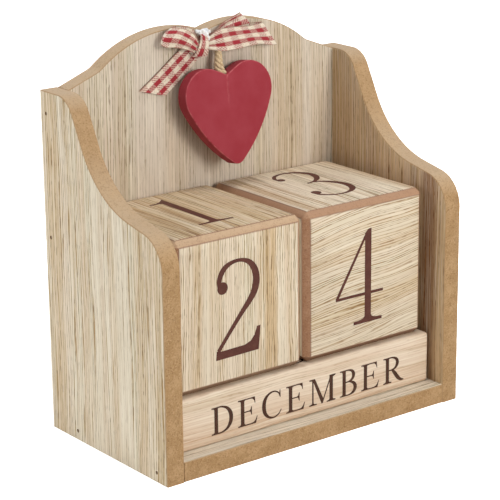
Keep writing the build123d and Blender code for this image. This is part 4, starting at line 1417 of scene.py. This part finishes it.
# The warp lies closer than the weft, so the lengthwise bands are mostly red and the crosswise ones mostly cream.
dyed_warp = add_node(tree, "ShaderNodeMath", {0: dots, 1: 0.44, 2: 0.54}, operation="MULTIPLY_ADD").outputs[0]
dyed_warp = add_node(tree, "ShaderNodeMath", {0: dyed_warp, 1: warp}, operation="MULTIPLY").outputs[0]
dyed_weft = add_node(tree, "ShaderNodeMath", {0: dots, 1: 0.74, 2: 0.06}, operation="MULTIPLY_ADD").outputs[0]
dyed_weft = add_node(tree, "ShaderNodeMath", {0: dyed_weft, 1: weft}, operation="MULTIPLY").outputs[0]
both_red = add_node(tree, "ShaderNodeMath", {0: warp, 1: weft}, operation="MULTIPLY").outputs[0]
dyed = add_node(tree, "ShaderNodeMath", {0: dyed_warp, 1: dyed_weft}, operation="MAXIMUM").outputs[0]
dyed = add_node(tree, "ShaderNodeMath", {0: dyed, 1: both_red}, operation="MAXIMUM").outputs[0]
slub = patches(tree, cloth_place, 1 / 2.2, 0.4, 0.7)
cream = shade_over(tree, "#EADFCE", "#CDBBA3", slub, 0.8)
# Along both edges the weft turns round and the selvedge is denser and darker; the line is darkened further as painted
# shade along the edge.
off_middle = add_node(tree, "ShaderNodeMath", {0: crosswise, 1: RIBBON_WIDTH / 2}, operation="SUBTRACT").outputs[0]
off_middle = add_node(tree, "ShaderNodeMath", {0: off_middle}, operation="ABSOLUTE").outputs[0]
selvedge_and_shade = add_node(tree, "ShaderNodeMapRange", {
    0: off_middle, 1: RIBBON_WIDTH / 2 - 0.32, 2: RIBBON_WIDTH / 2 - 0.12}).outputs[0]
cream = shade_over(tree, cream, "#8E7A60", selvedge_and_shade, 0.7)
red = shade_over(tree, shade_over(tree, "#AE1C30", "#931A2A", slub), "#7A1220", dots, 0.45)
shade = shade_over(tree, cream, red, dyed, 0.97)
threads = add_node(tree, "ShaderNodeTexWave", {"Vector": cloth_place, "Scale": 1 / (2 * THREAD) / 3, "Distortion": 0.4},
                   bands_direction="DIAGONAL").outputs[0]
bump = add_node(tree, "ShaderNodeBump", {"Strength": 0.35, "Distance": 0.1 * MM, "Height": threads})
cloth = add_node(tree, "ShaderNodeBsdfPrincipled", {
    "Base Color": shade, "Roughness": 0.8, "Specular IOR Level": 0.2, "Sheen Weight": 0.12, "Normal": bump.outputs[0]})
tree.links.new(cloth.outputs[0], surface.inputs["Surface"])
print("gingham in checks of", CHECK, "mm")

# %% [markdown]
# ## Tying the bow
#
# The bow is one stiff narrow ribbon: two flattened loops, two loose ends and a wrap over the middle. Each piece is
# a strip between rails, which are smooth lines along the ribbon's two edges and, where it curls, down its middle.
# The rails pull together at the knot, and there the cloth has more width than room, so it gathers in small
# pleats that die out along the ribbon. A little noise keeps the cloth from lying dead flat.

# %% A strip of ribbon between rails
CLOTH = 0.28  # thickness in millimetres
RUFFLE = 0.07  # how far the cloth stands off its even curve


def smooth_line(marks, share):
    """The point at a share of the way along a smooth line through some marks."""
    marks = [Vector(m) for m in marks]
    marks = [2 * marks[0] - marks[1], *marks, 2 * marks[-1] - marks[-2]]
    spans = len(marks) - 3
    i = min(int(share * spans), spans - 1)
    t = share * spans - i
    return smooth_between(*marks[i : i + 4], t)


def ribbon(name, rails, stands_for, pleats=(), start=0.0, stretch=1.0, shown=(0.0, 1.0), squared=False, length_steps=90,
           width_steps=20):
    """A strip of cloth over two or more rails, its checks begun `start` millimetres along the ribbon.

    A pleat is (share along the strip, reach in shares, depth in mm). `shown` is the part of the ribbon's width in
    sight, with the rest folded under. In a `squared` strip the bands stay square up to a slanting cut end.
    """
    rows = []
    for i in range(length_steps + 1):
        share = i / length_steps
        ribs = [smooth_line(rail, share) for rail in rails]
        rows.append([smooth_line(ribs, k / width_steps) if len(ribs) > 2 else ribs[0].lerp(ribs[1], k / width_steps)
                     for k in range(width_steps + 1)])
    middle = [row[width_steps // 2] for row in rows]
    run = [0.0]
    for a, b in zip(middle, middle[1:]):
        run.append(run[-1] + (b - a).length)
    direction = (middle[-1] - middle[length_steps // 3]).normalized()

    points, texture = [], []
    for i, row in enumerate(rows):
        ahead = (rows[min(i + 1, length_steps)][width_steps // 2] - rows[max(i - 1, 0)][width_steps // 2]).normalized()
        out = ahead.cross(row[-1] - row[0]).normalized()
        for k, point in enumerate(row):
            share, v = i / length_steps, k / width_steps
            lift = sum(depth * max(0.0, 1 - abs(share - at) / reach) ** 1.5 * sin(pi * 5 * v)
                       for at, reach, depth in pleats)
            lift += RUFFLE * noise.noise((run[i] * 0.35, v * 3.0, len(name)))
            points.append(point + out * lift)
            u = (point - middle[0]).dot(direction) if squared else run[i]
            texture.append((start + u / stretch, (shown[0] + v * (shown[1] - shown[0])) * RIBBON_WIDTH))
    faces = []
    for i in range(length_steps):
        for k in range(width_steps):
            a = i * (width_steps + 1) + k
            faces.append((a, a + width_steps + 1, a + width_steps + 2, a + 1))
    mesh = bpy.data.meshes.new(name)
    mesh.from_pydata([p * MM for p in points], [], faces)
    chart = mesh.uv_layers.new(name="ribbon")
    for corner in mesh.loops:
        chart.data[corner.index].uv = texture[corner.vertex_index]
    item = new_object(name, mesh)
    thickness = item.modifiers.new("cloth", "SOLIDIFY")
    thickness.thickness, thickness.offset = CLOTH * MM, 0.0
    item.data = plain_mesh(item)
    item.modifiers.clear()
    return finish_piece(item, gingham, "case", stands_for, sharp=50)


print("the ribbon is", RIBBON_WIDTH, "mm wide and", CLOTH, "mm thick")

# %% Loops, loose ends and the wrap
left_loop_upper = [(-3.9, 24.4, 122.9), (-5.6, 24.5, 125.1), (-7.9, 24.5, 126.4), (-10.9, 24.4, 127.2),
                   (-14.0, 23.9, 127.4), (-16.0, 22.8, 127.2), (-15.5, 21.8, 127.6), (-13.3, 20.9, 127.2),
                   (-10.6, 20.5, 126.2), (-7.7, 20.9, 124.2), (-5.2, 22.2, 121.5)]
left_loop_middle = [(-4.1, 24.4, 120.7), (-6.4, 24.6, 121.9), (-9.5, 24.6, 123.1), (-12.9, 24.5, 123.9),
                    (-16.4, 24.0, 124.7), (-18.5, 22.8, 125.5), (-18.5, 21.5, 125.3), (-16.1, 20.3, 125.2),
                    (-13.2, 19.9, 124.2), (-9.6, 20.3, 122.2), (-6.0, 22.0, 119.8)]
left_loop_lower = [(-4.2, 24.4, 118.3), (-7.3, 24.5, 119.0), (-11.2, 24.5, 119.8), (-14.8, 24.4, 120.7),
                   (-18.1, 23.9, 122.0), (-19.8, 22.8, 123.2), (-20.1, 21.8, 122.3), (-18.3, 21.1, 121.5),
                   (-15.2, 20.9, 121.2), (-11.0, 21.1, 119.9), (-6.6, 22.2, 118.0)]
right_loop_upper = [(-0.6, 24.3, 122.6), (4.0, 24.3, 124.6), (9.0, 24.2, 125.0), (14.0, 24.0, 124.9),
                    (18.6, 23.5, 125.0), (20.6, 22.7, 125.0), (18.8, 21.9, 124.9), (13.6, 21.5, 124.7),
                    (6.6, 21.2, 125.2), (1.6, 21.1, 124.9), (-1.4, 22.2, 122.8)]
right_loop_lower = [(-0.6, 24.3, 119.0), (4.0, 24.3, 118.1), (9.0, 24.2, 118.0), (14.0, 24.0, 118.1),
                    (22.5, 23.6, 117.4), (26.6, 22.7, 116.8), (24.6, 21.9, 116.9), (18.1, 21.5, 118.1),
                    (10.5, 21.2, 117.7), (3.9, 21.0, 117.7), (-1.4, 22.2, 118.7)]
left_tail_upper = [(-4.6, 23.9, 121.0), (-7.8, 24.3, 121.6), (-12.0, 24.7, 118.9), (-19.3, 24.9, 113.5),
                   (-27.2, 24.7, 108.1)]
left_tail_lower = [(-3.0, 23.7, 118.4), (-4.0, 24.2, 116.3), (-6.8, 24.7, 113.3), (-12.2, 24.9, 108.9),
                   (-17.4, 24.6, 105.3)]
# The right end is folded a little along its length: a groove near its upper edge, and its lower half in front.
right_tail = [[(-1.2, 24.0, 122.6), (2.0, 24.0, 123.7), (6.0, 23.9, 126.5), (12.4, 23.6, 129.0)],
              [(-0.9, 24.3, 122.2), (2.7, 24.3, 123.5), (7.3, 24.8, 125.9), (14.2, 24.9, 127.9)],
              [(-0.6, 23.8, 121.8), (3.1, 23.8, 123.4), (8.0, 23.3, 125.1), (14.9, 23.0, 126.2)],
              [(-0.2, 24.2, 121.4), (4.3, 24.0, 122.4), (10.5, 23.4, 123.2), (17.4, 23.0, 123.1)]]

ribbon("bow_left_loop_of_ribbon", [left_loop_upper, left_loop_middle, left_loop_lower], ["bow_left_loop"],
       pleats=((0.0, 0.3, 0.3), (0.62, 0.16, 0.3), (1.0, 0.3, 0.45)), start=0.3)
ribbon("bow_right_loop_of_ribbon", [right_loop_upper, right_loop_lower], ["bow_right_loop"],
       pleats=((0.0, 0.15, 0.3), (1.0, 0.16, 0.45)), start=4.15, stretch=1.13)
ribbon("bow_left_tail_of_ribbon", [left_tail_upper, left_tail_lower], ["bow_left_tail"],
       pleats=((0.0, 0.3, 0.4),), start=5.0, shown=(0.0, 0.93), squared=True, length_steps=70)
ribbon("bow_right_tail_of_ribbon", right_tail, ["bow_right_tail"],
       pleats=((0.0, 0.25, 0.3),), start=1.0, squared=True, length_steps=60)

# The wrap goes once round the middle of the bow, folded over and leaning to the left.
knot_low, knot_high = (Vector(corner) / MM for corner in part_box("bow_knot"))
knot_middle, knot_half = (knot_low + knot_high) / 2, (knot_high - knot_low) / 2
WRAP_LOWER = 1.14  # how much further its lower half hangs
WRAP_SHIFT, WRAP_LEAN = -1.6, 0.26  # sideways, and sideways for each millimetre up
WRAP_HALF, WRAP_TAPER = 1.9, 0.2  # half its width, and how much narrower each millimetre up
WRAP_SLANT = 0.3  # how much higher its left edge is than its middle
WRAP_DEPTH = 0.85  # its depth as a share of the knot's
BULGE_LEFT, BULGE_FRONT = 0.2, 0.35  # how far its middle stands out
wrap_left, wrap_right = [], []
for i in range(17):
    turn = radians(-80 + 340 * i / 16)
    y = knot_middle.y - knot_half.y * WRAP_DEPTH * cos(turn)
    z = knot_middle.z + knot_half.z * sin(turn) * (WRAP_LOWER if sin(turn) < 0 else 1.0)
    shift = WRAP_SHIFT + WRAP_LEAN * (z - knot_middle.z)
    half = WRAP_HALF - WRAP_TAPER * (z - knot_middle.z)
    wrap_left.append((knot_middle.x - half + shift, y, z + WRAP_SLANT))
    wrap_right.append((knot_middle.x + half + shift, y, z - WRAP_SLANT))
bulge = [((a[0] + b[0]) / 2 - BULGE_LEFT, a[1] - BULGE_FRONT * (a[1] < knot_middle.y), (a[2] + b[2]) / 2)
         for a, b in zip(wrap_left, wrap_right)]
ribbon("bow_wrap_of_ribbon", [wrap_left, bulge, wrap_right], ["bow_knot"], pleats=((0.3, 0.9, 0.16),), start=0.6,
       shown=(0.1, 0.6), length_steps=80)
print("bow tied")

# %% [markdown]
# ## The bead of glue
#
# Hot-melt glue is pressed on as a blob, sags while it cools and draws a thread as the gun leaves. A few balls of
# different sizes are merged by a voxel remesh and smoothed, which gives the lumpy, rounded skin of real glue.

# %% Glue
GLUE_FORWARD = 0.9  # how far the balls stand in front of the bead's middle
GLUE_VOXEL = 0.16
glue_low, glue_high = (Vector(corner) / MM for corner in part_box("glue_bead"))
glue_middle = (glue_low + glue_high) / 2
blobs = bmesh.new()
for dx, dy, dz, radius in ((0.0, 0.2, -0.5, 1.55), (-1.5, 0.3, -0.2, 1.0), (-2.5, 0.6, 0.3, 0.7),
                           (1.5, 0.1, -0.1, 0.8), (2.3, 0.2, -0.3, 0.6), (0.5, -0.4, 0.5, 0.8),
                           (-0.7, -0.5, 0.3, 0.75), (-0.9, -0.9, -1.5, 0.75), (-1.4, -1.2, -2.4, 0.6),
                           (-1.8, -1.3, -3.2, 0.45), (0.7, -1.0, -1.6, 0.65), (0.8, -1.3, -2.4, 0.45),
                           (0.1, -1.1, -0.6, 0.8)):
    bmesh.ops.create_icosphere(blobs, subdivisions=3, radius=radius * MM,
                               matrix=Matrix.Translation((glue_middle + Vector((dx, dy - GLUE_FORWARD, dz))) * MM))
mesh = bpy.data.meshes.new("glue")
blobs.to_mesh(mesh)
blobs.free()
bead = new_object("bead_of_glue", mesh)
fused = bead.modifiers.new("fuse", "REMESH")
fused.mode, fused.voxel_size = "VOXEL", GLUE_VOXEL * MM
sag = bead.modifiers.new("sag", "SMOOTH")
sag.iterations, sag.factor = 3, 0.5
bead.data = plain_mesh(bead)
bead.modifiers.clear()
for vertex in bead.data.vertices:  # the back of the blob is flat against the panel
    vertex.co.y = min(vertex.co.y, (panel_y - 0.02) * MM)
finish_piece(bead, glue, "case", ["glue_bead"], sharp=80)
print("glue with", len(bead.data.polygons), "faces")
